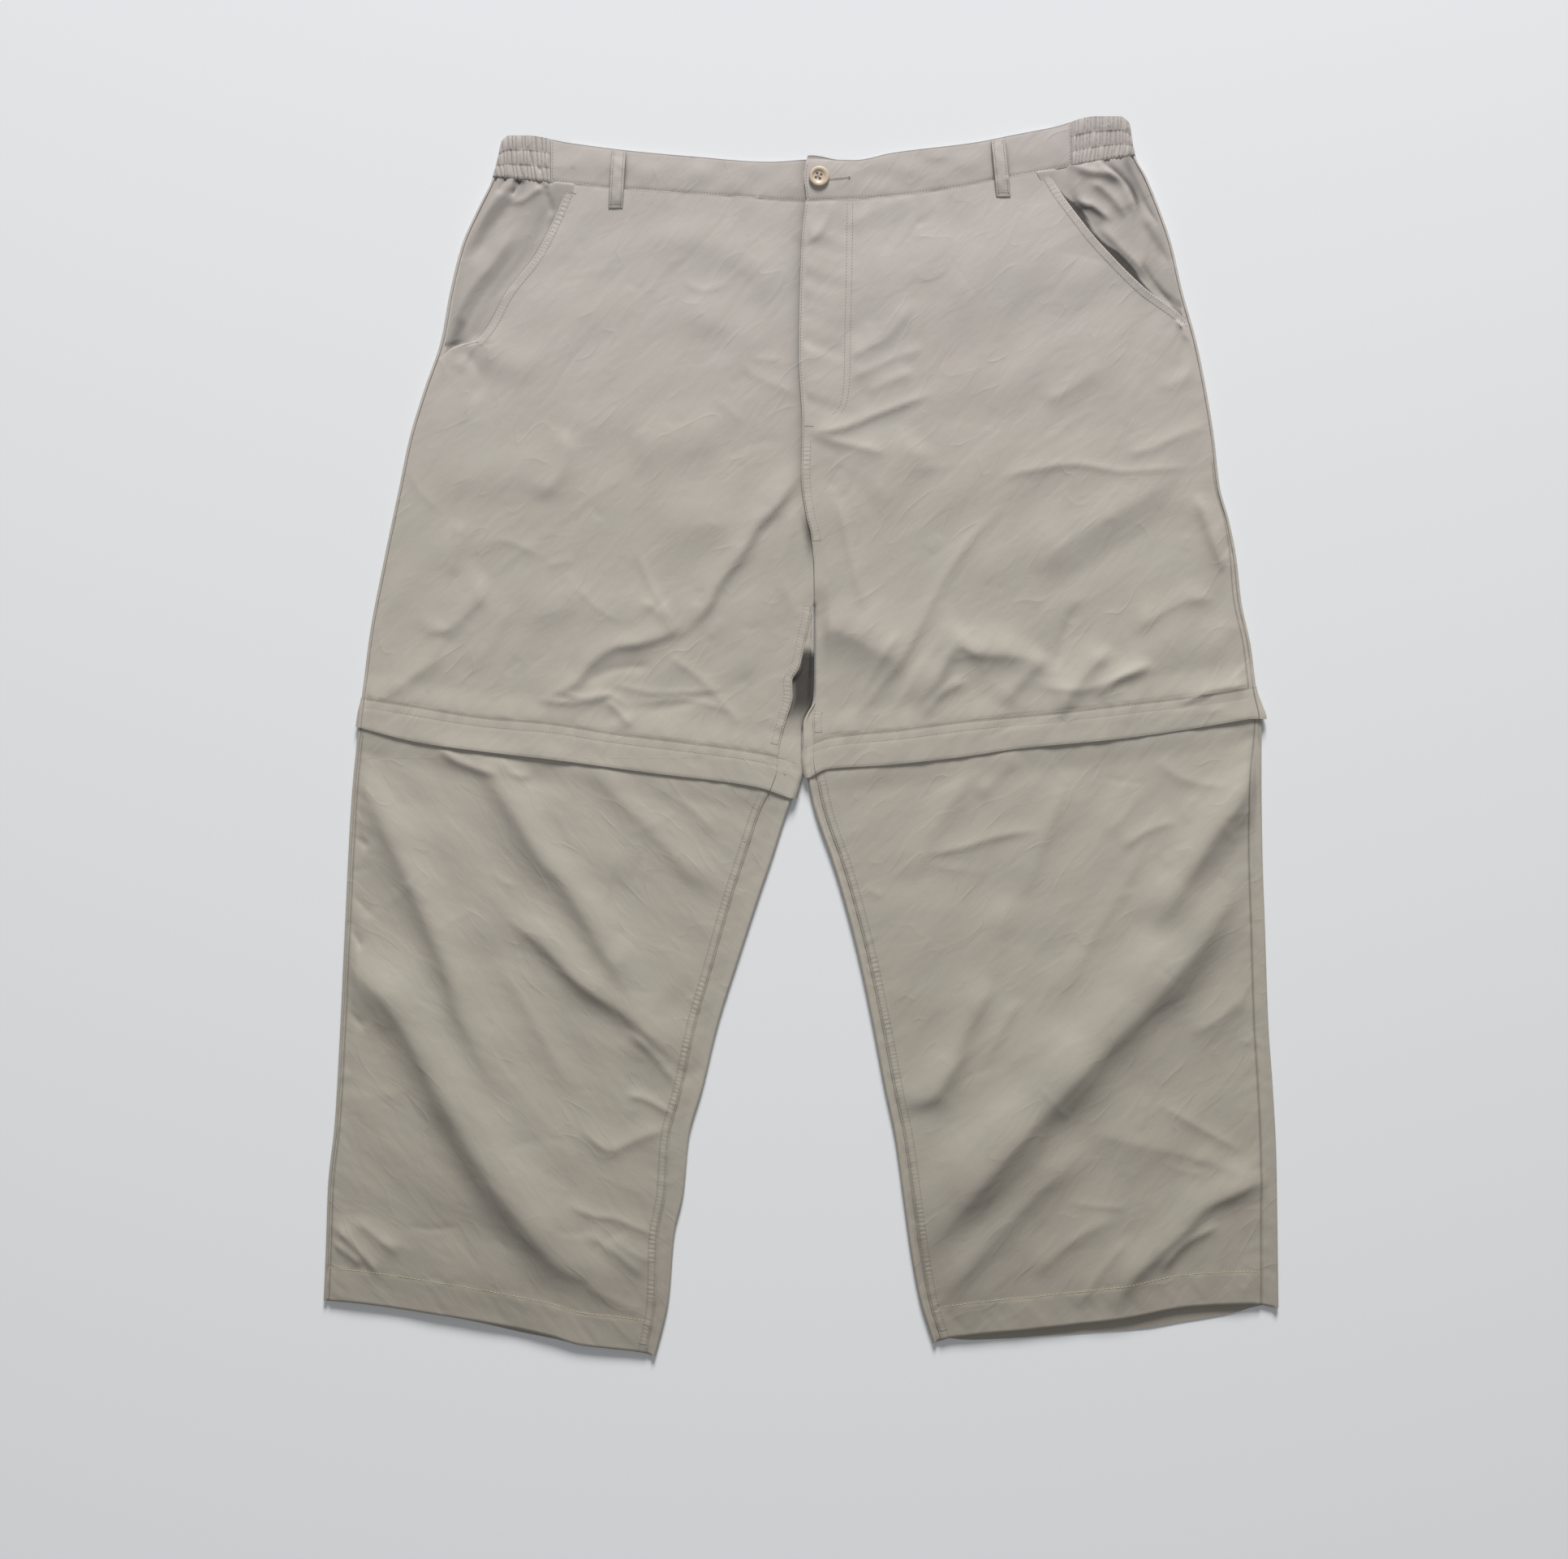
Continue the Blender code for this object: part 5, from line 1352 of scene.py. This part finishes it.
def backPart(leg, rowAt, shares, outerAt, outAt=lambda x, y: 0 * x, stand=0.0):
    outerAt = tuckedAt(leg, outerAt)
    outseamX = crossing(rowAt, shares, lambda y: leg.outseam(y, seamUnder["tuck"]))
    outerX = crossing(rowAt, shares, leg.outer)
    innerX = crossing(rowAt, shares, leg.inner)
    inseamX = crossing(rowAt, shares, lambda y: leg.inseam(y, seamUnder["tuck"]))
    above = rowAt(innerX, shares) > tube["crotchY"]
    centreX = crossing(rowAt, shares, centreBack) - leg.inward * tube["gap"] / 2
    radius = tube["edgeRadius"]
    under = flapLooks["step"] if stand else 0
    columns = []
    flatX = outerX + leg.inward * radius
    for share in np.linspace(0, 1, panelLooks["stripColumns"] + 1)[:-1]:
        x = outseamX + (flatX - outseamX) * share
        y = rowAt(x, shares)
        columns.append((x, y, outerAt(x, y)))
    columns += sideColumns(leg, rowAt, shares, outerX, leg.inward, outAt, stand, down=True)
    lastX = np.where(above, centreX, innerX - leg.inward * radius)
    for share in np.linspace(0, 1, panelLooks["underColumns"] + 2)[1:-1]:
        x = flatX + (lastX - flatX) * share
        y = rowAt(x, shares)
        dent = 0 if stand else panelLooks["dent"] * np.maximum(wander(x, y, 90, 40, 160, 12) - 0.9, 0)
        columns.append((x, y, liftOf(leg, x, y) - under + dent * math.sin(math.pi * share)))
    edge = rowAt(lastX, shares)
    folded = sideColumns(leg, rowAt, shares, innerX, -leg.inward, outAt, stand, down=False)
    columns.append(tuple(
        np.where(above, first, second)
        for first, second in zip((lastX, edge, liftOf(leg, lastX, edge) - under), folded[0])
    ))
    flatInX = innerX - leg.inward * radius
    strip = []
    for share in np.linspace(0, 1, panelLooks["stripColumns"] + 1)[1:]:
        x = flatInX + (inseamX - flatInX) * share
        y = rowAt(x, shares)
        strip.append((x, y, outerAt(x, y)))
    for x, y, z in folded[1:] + strip:
        columns.append((x, y, np.where(above, np.nan, z)))
    x, y, z = (np.stack([column[k] for column in columns], axis=1) for k in range(3))
    return gridPart(x, y, z, flip=leg is right)


def backOuter(leg, x, y):
    height = topHeight(leg, x, y) + seamGrooves(leg, x, y)
    return height - underBand(waistSeam(x) - y)


def lowerBackOuter(leg, x, y):
    # it shows a little below the front's hem
    height = lowerOuter(leg, x, np.maximum(y, leg.hem(x) + 0.01))
    return height - 0.25 * bump(y - leg.backHem(x), 1.5)


def makeBack(leg, upper):
    rowAt = upperRow(leg) if upper else rowsBetween(leg.zipLow, leg.backHem)
    shares = spread(*panelLooks["upper" if upper else "lower"]["backRows"])
    part = backPart(leg, rowAt, shares, partial(backOuter if upper else lowerBackOuter, leg))
    return legPiece(leg, upper, "Back", [part]), []


def makeFlaps(leg):
    rowAt = rowsBetween(leg.flapTop, leg.flapBottom)
    shares = spread(*flapLooks["rows"])
    outerAt = partial(flapOuter, leg)
    x, y = panelPlaces(rowAt, shares, *seamLines(leg), spread(*flapLooks["columns"]))
    part = gridPart(x, y, outerAt(x, y), flip=leg is left)
    front = clothPiece(f"flapFront{leg.name}", [part], "flap", flapLooks["wall"], flapSeamPaintedShadeAt(leg))
    part = backPart(leg, rowAt, shares, outerAt, partial(flapOut, leg), flapLooks["sideStand"])
    back = clothPiece(f"flapBack{leg.name}", [part], "flap", flapLooks["wall"])
    ends = sorted((float(x[0, 0]), float(x[0, -1])))
    for down, seed in ((flapLooks["firstRow"], 3), (flapLooks["secondRow"], 4)):
        sewAlong(crossSeam(lambda at: leg.flapTop(at) - down, *ends), outerAt, slip=0.06, seed=seed)
    return [(front, [f"front{leg.name}"]), (back, [])]


def makePocketSide(leg):
    waistRow = lambda x: waistSeam(x) + frontLooks["underBand"]
    rowAt = rowsBetween(waistRow, lambda x: 0 * x + leg.pocketLow - 10)
    shares = spread(150, 2.0, 0.8, 4)
    tucked = lambda y: leg.pocket(np.maximum(y, leg.pocketLow)) + leg.inward * 11
    x, y = panelPlaces(rowAt, shares, seamLines(leg)[0], tucked, spread(70, 1.8, 0.8, 5))
    part = gridPart(x, y, pocketOuter(leg, x, y), flip=leg is left)
    piece = clothPiece(f"pocketSide{leg.name}", [part], "pocket", wearAndShadeAt=pocketPaintedShadeAt(leg))
    return piece, [f"back{leg.name}"]


# The waistband: plain front halves, the left over the right, elasticated sides, and a plain back
waistband = {
    "radius": 3.1, "wall": 1.8, "sideWall": 1.2, "crown": 0.7, "lapX": 5, "underlapX": 34, "lapStep": 2.5,
    "lapFade": (36, 66), "lapRise": (3.0, 9, 34), "rows": (35, 1.4, 0.6, 3), "columns": (220, 2.0, 0.8, 6),
    "frontX": {"Right": -221.5, "Left": 239.0}, "backX": {"Right": -205.0, "Left": 226.0},
    "channels": 3, "gather": 1.9, "gatherPitch": {"Right": 4.2, "Left": 3.5}, "edgeRoll": 0.3,
    "overhang": 0.35, "stitchIn": 1.8,
}


def bandRow(x, share, rise=0.0):
    foot = waistSeam(x) + tube["gap"] / 2 - waistband["overhang"] * (1 + wobble(x, 101, 9))
    return waistTop(x) + rise + (foot - waistTop(x) - rise) * share


def lapRow(x, share):
    # the top corner of the lap stands a little above the half under it
    rise, fromX, toX = waistband["lapRise"]
    return bandRow(x, share, rise * (1 - ramp(x, fromX, toX)))


def bandShare(x, y):
    return np.clip((waistTop(x) - y) / (waistTop(x) - waistSeam(x)), 0, 1)


def bandOuter(x, y, lapped=False):
    share = bandShare(x, y)
    height = 2 * waistband["radius"] + waistband["crown"] * np.sin(math.pi * share)
    height = height + 0.28 * wander(x, y, 103, 24, 90, 14) * np.sin(math.pi * share)
    height = height - waistband["edgeRoll"] * bump(waistTop(x) - y, 1.2)
    fromFoot = y - waistSeam(x)
    height = height - 0.2 * bump(fromFoot - waistband["stitchIn"], 0.8) - 0.3 * bump(fromFoot, 0.8)
    height = height + puckers(x, fromFoot, 105, 5, 5, 0.3)
    if lapped:
        height = height + waistband["lapStep"] * (1 - ramp(x, *waistband["lapFade"]))
        height = height - 0.6 * bump(x - lapEdge(y), 1.2)
    return height


def makeBandFront(leg):
    sideX = waistband["frontX"][leg.name] + leg.inward * tube["gap"]
    lapped = leg is left
    outerAt = lambda x, y: bandOuter(x, y, lapped)
    endLine = lapEdge if lapped else (lambda y: 0 * y + waistband["underlapX"])
    rowAt = lapRow if lapped else bandRow
    sideLine = lambda y: 0 * y + sideX
    shares, columns = spread(*waistband["rows"]), spread(*waistband["columns"])
    x, y = panelPlaces(rowAt, shares, sideLine, endLine, columns)
    piece = clothPiece(
        f"waistbandFront{leg.name}", [gridPart(x, y, outerAt(x, y), flip=lapped)], "band",
        waistband["wall"], wearAndShadeAt=lambda x, y: bandPaintedShadeAt(x, y, lapped),
    )
    ends = sorted((sideX + leg.inward * 1.5, waistband["lapX"] + 2 * lapped))
    footLine = lambda x: waistSeam(x) + waistband["stitchIn"]
    sewAlong(crossSeam(footLine, *ends), outerAt, slip=0.05, seed=11)
    if lapped:
        sewAlong(offsetLine(downSeam(lapEdge, 506, 475), 1.7), outerAt, seed=12)
    return piece, ["waistbandBack"]


def gatherHeight(leg, x, share):
    # crests between sharp valleys, pinched flat along the channel lines, uneven from channel to channel
    place = (x - waistband["frontX"][leg.name]) * leg.side / waistband["gatherPitch"][leg.name]
    total = 0
    for channel in range(waistband["channels"]):
        inside = np.clip(share * waistband["channels"] - channel, 0, 1)
        across = 0.4 + 0.6 * np.sin(math.pi * inside) ** 0.5
        lean = 0.55 if channel == waistband["channels"] - 1 else 0.12
        drift = 0.42 * wobble(place * 10, 111 + channel + leg.side, 9) + lean * (inside - 0.5)
        wave = np.abs(np.sin(math.pi * (place + drift))) ** 0.38
        size = 0.7 + 0.3 * wobble(place * 10 + 500, 121 + channel + leg.side, 13)
        live = (share * waistband["channels"] >= channel) & (share * waistband["channels"] <= channel + 1)
        total = total + live * waistband["gather"] * size * across * wave
    return total * ramp(place, 0, 0.5)


def gatherPaintedShadeAt(leg):
    # painted shade in the valleys between the gathers, along the channel lines, at the side seam and at the
    # lower edge
    full = 0.8 * waistband["gather"]

    def wearAndShadeAt(x, y):
        share = bandShare(x, y)
        low = 1 - np.clip(gatherHeight(leg, x, share) / full, 0, 1)
        fromSeam = np.abs(x - waistband["frontX"][leg.name])
        channels = np.abs((share * waistband["channels"] + 0.5) % 1 - 0.5)
        darkening = 0.6 * low**3 * ramp(fromSeam, 1, 4) + 0.3 * bump(channels, 0.05) * (share < 0.9)
        return darkening + 0.2 * bump(fromSeam, 0.7) + 0.45 * bump(share - 1, 0.03)

    return wearAndShadeAt


def makeBandSide(leg):
    shares = np.linspace(0, 1, 40)
    seamX = waistband["frontX"][leg.name]
    radius = waistband["radius"]
    pitch = waistband["gatherPitch"][leg.name]
    edgeX = crossing(bandRow, shares, leg.outer)
    flatX = edgeX + leg.inward * radius
    columns = []
    for part in np.linspace(0, 1, 120):
        x = seamX + (flatX - seamX) * part
        scallop = 1.5 * ramp(shares, 0.8, 1) * np.abs(np.sin(math.pi * (x - seamX) / pitch))
        columns.append((x, bandRow(x, shares) - scallop, 2 * radius + gatherHeight(leg, x, shares)))
    for turn in np.radians(np.linspace(90, -90, 14))[1:]:
        over = gatherHeight(leg, flatX - leg.inward * (math.pi / 2 - turn) * radius, shares)
        over = over * max(math.sin(turn) + 0.6, 0)
        x = flatX - leg.inward * (radius + 0.5 * over) * math.cos(turn)
        z = radius + (radius + over * max(math.sin(turn), 0)) * math.sin(turn)
        columns.append((x, bandRow(x, shares), z))
    underX = waistband["backX"][leg.name]
    for part in np.linspace(0, 1, 14)[1:]:
        x = flatX + (underX - flatX) * part
        columns.append((x, bandRow(x, shares), 0 * x))
    x, y, z = (np.stack([column[k] for column in columns], axis=1) for k in range(3))
    piece = clothPiece(
        f"waistbandSide{leg.name}", [gridPart(x, y, z, flip=leg is right)], "band",
        waistband["sideWall"], gatherPaintedShadeAt(leg),
    )
    outerAt = lambda x, y: 2 * radius + gatherHeight(leg, x, bandShare(x, y))
    for line in range(1, waistband["channels"] + 1):
        share = line / waistband["channels"] - (0.06 if line == waistband["channels"] else 0)
        ends = sorted((seamX + leg.side * 1.5, seamX + leg.side * 46))
        stitchLine = crossSeam(lambda at: bandRow(at, share), *ends)
        sewAlong(stitchLine, outerAt, pitch=2.2, length=1.8, seed=13 + line)
    seamLine = downSeam(lambda y: 0 * y + seamX - leg.side * 1.6, waistTop(seamX) - 2, waistSeam(seamX) + 2)
    sewAlong(seamLine, lambda x, y: bandOuter(x, y, leg is left), seed=17)
    return piece, ["waistbandBack"]


def makeBandBack():
    low = waistband["backX"]["Right"] + tube["gap"]
    high = waistband["backX"]["Left"] - tube["gap"]
    x = np.linspace(low, high, 160)[None, :] + np.zeros((18, 1))
    share = np.linspace(0, 1, 18)[:, None]
    y = waistTop(x) + (waistSeam(x) + tube["gap"] - waistTop(x)) * share
    dent = 0.22 * bump(share - 0.93, 0.03) + 0.22 * bump(share - 0.07, 0.03)
    part = gridPart(x, y, 0 * x + dent, flip=True)
    return clothPiece("waistbandBack", [part], "band", waistband["wall"]), []


# Front belt loops: a folded strip, stitched near both edges, its ends turned in and tacked
beltLoops = {
    "width": 12.5, "wall": 1.4, "arch": 1.8, "stitchIn": 2.0, "edge": 0.35,
    "ends": {"Right": ((-161.0, 517.0), (-164.0, 467.0)), "Left": ((174.0, 526.5), (179.0, 477.0))},
}


def loopOuter(leg, x, y):
    middle, share = loopMiddle(leg, y)
    bottomY = beltLoops["ends"][leg.name][1][1]
    onBand = y > waistSeam(x)
    under = np.where(onBand, bandOuter(x, y, leg is left), frontOuter(leg, x, np.minimum(y, waistSeam(x))))
    under = np.maximum(under, 2 * waistband["radius"] + 0.4)
    across = np.abs(x - middle)
    edge = beltLoops["width"] / 2 - across
    height = under + tube["gap"] + beltLoops["wall"] + beltLoops["arch"] * np.sin(math.pi * share)
    height = height - beltLoops["edge"] * bump(edge, 0.7) - 0.28 * bump(edge - beltLoops["stitchIn"], 0.6)
    height = height + 0.10 * wander(x, y, 131, 8, 30, 10)
    return height - 0.6 * (1 - ramp(y - bottomY, 0, 7))


def makeBeltLoop(leg):
    (topX, topY), (bottomX, bottomY) = beltLoops["ends"][leg.name]
    share = spread(50, 1.1, 0.5, 3)[:, None]
    across = spread(beltLoops["width"], 0.9, 0.45, 2.7)[None, :] - 0.5
    x = topX + (bottomX - topX) * share + beltLoops["width"] * across
    y = topY + (bottomY - topY) * share + 0 * across
    outerAt = partial(loopOuter, leg)
    part = gridPart(x, y, outerAt(x, y))
    piece = clothPiece(f"beltLoop{leg.name}", [part], "band", beltLoops["wall"], loopPaintedShadeAt(leg))
    lean = (bottomX - topX) / (bottomY - topY)
    for side in (-1, 1):
        line = lambda y: topX + (y - topY) * lean + side * (beltLoops["width"] / 2 - beltLoops["stitchIn"])
        sewAlong(downSeam(line, topY - 1.5, bottomY + 1.5), outerAt, pitch=2.6, length=2.0, seed=23)
    end = (np.array([bottomX - 5.2, bottomX, bottomX + 5.2]), np.full(3, bottomY + 3.2))
    sewAlong(end, outerAt, pitch=1.9, length=1.6, seed=24)
    return piece, [f"waistbandFront{leg.name}"]


# The waist button, its thread, and the buttonhole beside it
buttonLooks = {
    "place": (16.0, 494.0, 9.7), "well": 1.75, "holeRadius": 1.2, "holeCircle": 2.6, "thread": 0.16,
    "firstHole": 28, "wellShift": (-0.6, 0.3), "steps": 96, "rim": [
        (9.0, 1.4), (8.9, 2.1), (8.6, 2.6), (8.1, 2.9), (7.4, 3.0), (6.6, 2.95), (5.8, 2.75), (5.2, 2.4),
        (4.7, 1.95), (4.2, 1.75),
    ],
    "foot": [(8.9, 0.7), (8.5, 0.2), (7.8, 0.0)],
}
buttonholeLooks = {
    "start": (25.0, 491.4), "end": (42.0, 493.0), "reach": 0.85, "pitch": 0.5, "fan": 1.7, "thread": 0.34,
}


def tubeMesh(name, path, radius, finish, sides=8):
    # a round strand along a path, closed at both ends
    path = np.asarray(path, float)
    run = np.gradient(path, axis=0)
    run /= np.linalg.norm(run, axis=1, keepdims=True)
    side = np.cross(run, (0, 0, 1.0))
    side /= np.maximum(np.linalg.norm(side, axis=1, keepdims=True), 1e-6)
    up = np.cross(side, run)
    turns = np.arange(sides) * math.tau / sides
    ring = side[:, None] * np.cos(turns)[None, :, None] + up[:, None] * np.sin(turns)[None, :, None]
    points = (path[:, None] + radius * ring).reshape(-1, 3)
    faces = []
    for k in range(len(path) - 1):
        for n in range(sides):
            after = (n + 1) % sides
            faces.append([k * sides + n, k * sides + after, (k + 1) * sides + after, (k + 1) * sides + n])
    faces.append(list(range(sides))[::-1])
    faces.append([(len(path) - 1) * sides + n for n in range(sides)])
    return meshObject(name, points, faces, finish)


def makeButton():
    placeX, placeY, placeZ = buttonLooks["place"]
    wellX, wellY = buttonLooks["wellShift"]
    profile = [(0.0, buttonLooks["well"])] + buttonLooks["rim"][::-1] + buttonLooks["foot"] + [(0.0, 0.0)]
    steps = buttonLooks["steps"]
    turns = np.arange(steps) * math.tau / steps
    points = [(wellX, wellY, profile[0][1])]
    for number, (radius, z) in enumerate(profile[1:-1]):
        off = 1 - ramp(radius, 4.2, 6.6) if number < len(buttonLooks["rim"]) else 0
        for turn in turns:
            points.append((radius * math.cos(turn) + wellX * off, radius * math.sin(turn) + wellY * off, z))
    points.append((0, 0, 0))
    rings = len(profile) - 2
    faces = []
    for n in range(steps):
        after = (n + 1) % steps
        faces.append([0, 1 + n, 1 + after])
        for ring in range(rings - 1):
            first, second = 1 + ring * steps, 1 + (ring + 1) * steps
            faces.append([first + n, second + n, second + after, first + after])
        last = 1 + (rings - 1) * steps
        faces.append([last + n, len(points) - 1, last + after])
    points = np.array(points) + (placeX, placeY, placeZ)
    piece = meshObject("waistButton", points, faces, "button")
    reach = buttonLooks["holeCircle"]
    turns = [math.radians(buttonLooks["firstHole"] + 90 * k) for k in range(4)]
    cutters = []
    for k, turn in enumerate(turns):
        bpy.ops.mesh.primitive_cylinder_add(
            vertices=28, radius=buttonLooks["holeRadius"] * mm, depth=12 * mm,
            location=(
                (placeX + wellX + reach * math.cos(turn)) * mm,
                (placeY + wellY + reach * math.sin(turn)) * mm, placeZ * mm,
            ),
        )
        cutter = bpy.context.object
        cut = piece.modifiers.new(f"hole{k}", "BOOLEAN")
        cut.object = cutter
        cutters.append(cutter)
    settle(piece, 40)
    for cutter in cutters:
        bpy.data.objects.remove(cutter, do_unlink=True)
    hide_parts("button")
    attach(piece, "root")
    for number, (k, shift) in enumerate(((0, -0.2), (0, 0.2), (1, -0.2), (1, 0.2))):
        # crossed strands, each from one hole to the one across
        across = np.linspace(1, -1, 15)
        x = placeX + wellX + reach * across * math.cos(turns[k]) - shift * math.sin(turns[k])
        y = placeY + wellY + reach * across * math.sin(turns[k]) + shift * math.cos(turns[k])
        z = placeZ + buttonLooks["well"] - 1.1 + (1.25 + 0.3 * k) * (1 - across**4)
        path = np.stack([x, y, z], axis=1)
        strand = tubeMesh(f"buttonThread{number}", path, buttonLooks["thread"], "buttonThread")
        strand.parent = piece
    # thread wound under the button; its near-black colour is painted shade seen through the holes
    shank = [(placeX + wellX, placeY + wellY, placeZ + z) for z in (-1.2, -0.6, 0.1, 0.3)]
    wound = tubeMesh("buttonShank", shank, 3.7, "shankThread", sides=24)
    wound.parent = piece
    return piece


def makeButtonhole():
    # a slit bound with close stitches on both sides, with a fan of them at its round end
    (fromX, fromY), (toX, toY) = buttonholeLooks["start"], buttonholeLooks["end"]
    length = math.hypot(toX - fromX, toY - fromY)
    runX, runY = (toX - fromX) / length, (toY - fromY) / length
    rows = []
    for side in (-1, 1):
        for place in np.arange(0, length, buttonholeLooks["pitch"]):
            midX, midY = fromX + runX * place, fromY + runY * place
            near, far = 0.25 * side, buttonholeLooks["reach"] * side
            rows.append((midX - runY * near, midY + runX * near, midX - runY * far, midY + runX * far))
    for turn in np.radians(np.arange(-100, 101, 20)):
        aheadX = runX * math.cos(turn) - runY * math.sin(turn)
        aheadY = runX * math.sin(turn) + runY * math.cos(turn)
        far = buttonholeLooks["fan"]
        rows.append((toX + aheadX * 0.4, toY + aheadY * 0.4, toX + aheadX * far, toY + aheadY * far))
    sewBars(rows, lambda x, y: bandOuter(x, y, True), "oliveThread", lift=0.05)


# Coil teeth on the tapes of the leg zips, under the flaps
def sewZipTeeth(leg):
    rowAt = rowsBetween(lambda x: leg.zipHigh(x) - tube["gap"], lambda x: leg.zipLow(x) + tube["gap"])
    middle = np.array([0.5])
    outerX = crossing(rowAt, middle, leg.outer)[0] + leg.inward * 6
    innerX = crossing(rowAt, middle, leg.inner)[0] - leg.inward * 6
    low, high = sorted((outerX, innerX))
    rows = []
    for x in np.arange(low, high, 1.7):
        y = float(rowAt(np.array([x]), middle)[0])
        rows.append((x, y - 1.9, x + 0.25, y + 1.9))
    sewBars(rows, partial(topHeight, leg), "zip", lift=-0.02)


# Build it all
made = []
for leg in (right, left):
    made.append(makeBack(leg, True))
    made.append(makeFront(leg, True))
    print("upper panels", leg.name)
    made.append(makeBack(leg, False))
    made.append(makeFront(leg, False))
    print("lower panels", leg.name)
    made += makeFlaps(leg)
    made.append(makePocketSide(leg))
    made.append(makeBandFront(leg))
    made.append(makeBandSide(leg))
    made.append(makeBeltLoop(leg))
    sewZipTeeth(leg)
    print("flaps, pocket and band", leg.name)
made.append(makeBandBack())
makeButton()
makeButtonhole()

# Rows of stitches that don't belong to a felled seam, and tacks at the fly and the pockets
pocketTacks = {"Right": (-203.0, 480.5), "Left": (213.0, 497.5)}
leftFront = partial(frontOuter, left)
sewAlong(downSeam(lambda y: flyStitchLine(y) - 1.0, 471, 284), leftFront, seed=31)
sewAlong(downSeam(lambda y: flyStitchLine(y) + 4.0, 471, 286), leftFront, seed=32)
sewAlong(offsetLine(downSeam(flyEdge, 470, 180), 1.6), leftFront, seed=33)
barTack((3.0, 274.0), (11.5, 273.5), 1.6, leftFront)
for leg in (right, left):
    ends = sorted((float(leg.outseam(-500)), float(leg.inseam(-520))))
    line = crossSeam(lambda at: leg.hem(at) + hemLooks["depth"], *ends)
    hemAt = partial(lowerOuter, leg)
    sewAlong(line, hemAt, "paleThread", pitch=3.4, length=2.8, slip=0.12, lift=0.05, seed=35)
    tackX, tackY = pocketTacks[leg.name]
    barTack((tackX - 4, tackY + 1), (tackX + 4, tackY - 1), 1.6, partial(frontOuter, leg))
trims = [
    stitchObject("stitches", "thread", threadLooks["width"]),
    stitchObject("hemStitches", "paleThread", 0.7),
    stitchObject("buttonholeStitches", "oliveThread", buttonholeLooks["thread"]),
    stitchObject("zipTeeth", "zip", 0.9),
]
print("stitches", [len(trim.data.polygons) for trim in trims])

for name in ("leg_zip_right", "leg_zip_left", "fly_zip"):
    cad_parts[name].material_slots[0].material = finishes["zip"]

# Each made piece and the names of the pieces under it, turned into a list
for piece, under in made:
    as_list(under)

# Floor, light and camera
studio = {
    "floor": (0.80, 0.82, 0.85), "keyPlace": (0.42, 7.4, 4.0), "keySize": 3.0, "keyPower": 885,
    "keyColour": (1.0, 0.985, 0.96), "fillPlace": (-0.2, -0.3, 2.8), "fillSize": 1.2, "fillPower": 11,
    "fillColour": (0.95, 0.97, 1.0), "sky": (1.0, 0.985, 0.965), "skyStrength": 0.165,
    "cameraPlace": (-0.0151, -0.0385, 2.2), "viewWide": 1.391,
}


def makeFloor():
    bpy.ops.mesh.primitive_plane_add(size=12, location=(0, 0, -0.0004))
    floor = bpy.context.object
    floor.name = "paleFloor"
    paper, tree, shader = blankMaterial("paleFloor", 0.85, 0.2)
    feed(tree, shader["Base Color"], studio["floor"])
    floor.data.materials.append(paper)


def areaLight(name):
    light = bpy.data.lights.new(name, "AREA")
    light.shape = "DISK"
    light.size = studio[f"{name}Size"]
    light.energy = studio[f"{name}Power"]
    light.color = studio[f"{name}Colour"]
    lamp = bpy.data.objects.new(name, light)
    lamp.location = studio[f"{name}Place"]
    lamp.rotation_euler = (-lamp.location).to_track_quat("-Z", "Y").to_euler()
    bpy.context.scene.collection.objects.link(lamp)


makeFloor()
areaLight("key")
areaLight("fill")
world = bpy.data.worlds.new("studioSky")
world.use_nodes = True
sky = world.node_tree.nodes["Background"]
sky.inputs["Color"].default_value = (*studio["sky"], 1)
sky.inputs["Strength"].default_value = studio["skyStrength"]
bpy.context.scene.world = world
bpy.context.scene.view_settings.view_transform = "Standard"

lens = bpy.data.cameras.new("overhead")
lens.sensor_fit = "HORIZONTAL"
lens.lens = lens.sensor_width * studio["cameraPlace"][2] / studio["viewWide"]
camera = bpy.data.objects.new("overhead", lens)
camera.location = studio["cameraPlace"]
bpy.context.scene.collection.objects.link(camera)
bpy.context.scene.camera = camera

print("built")
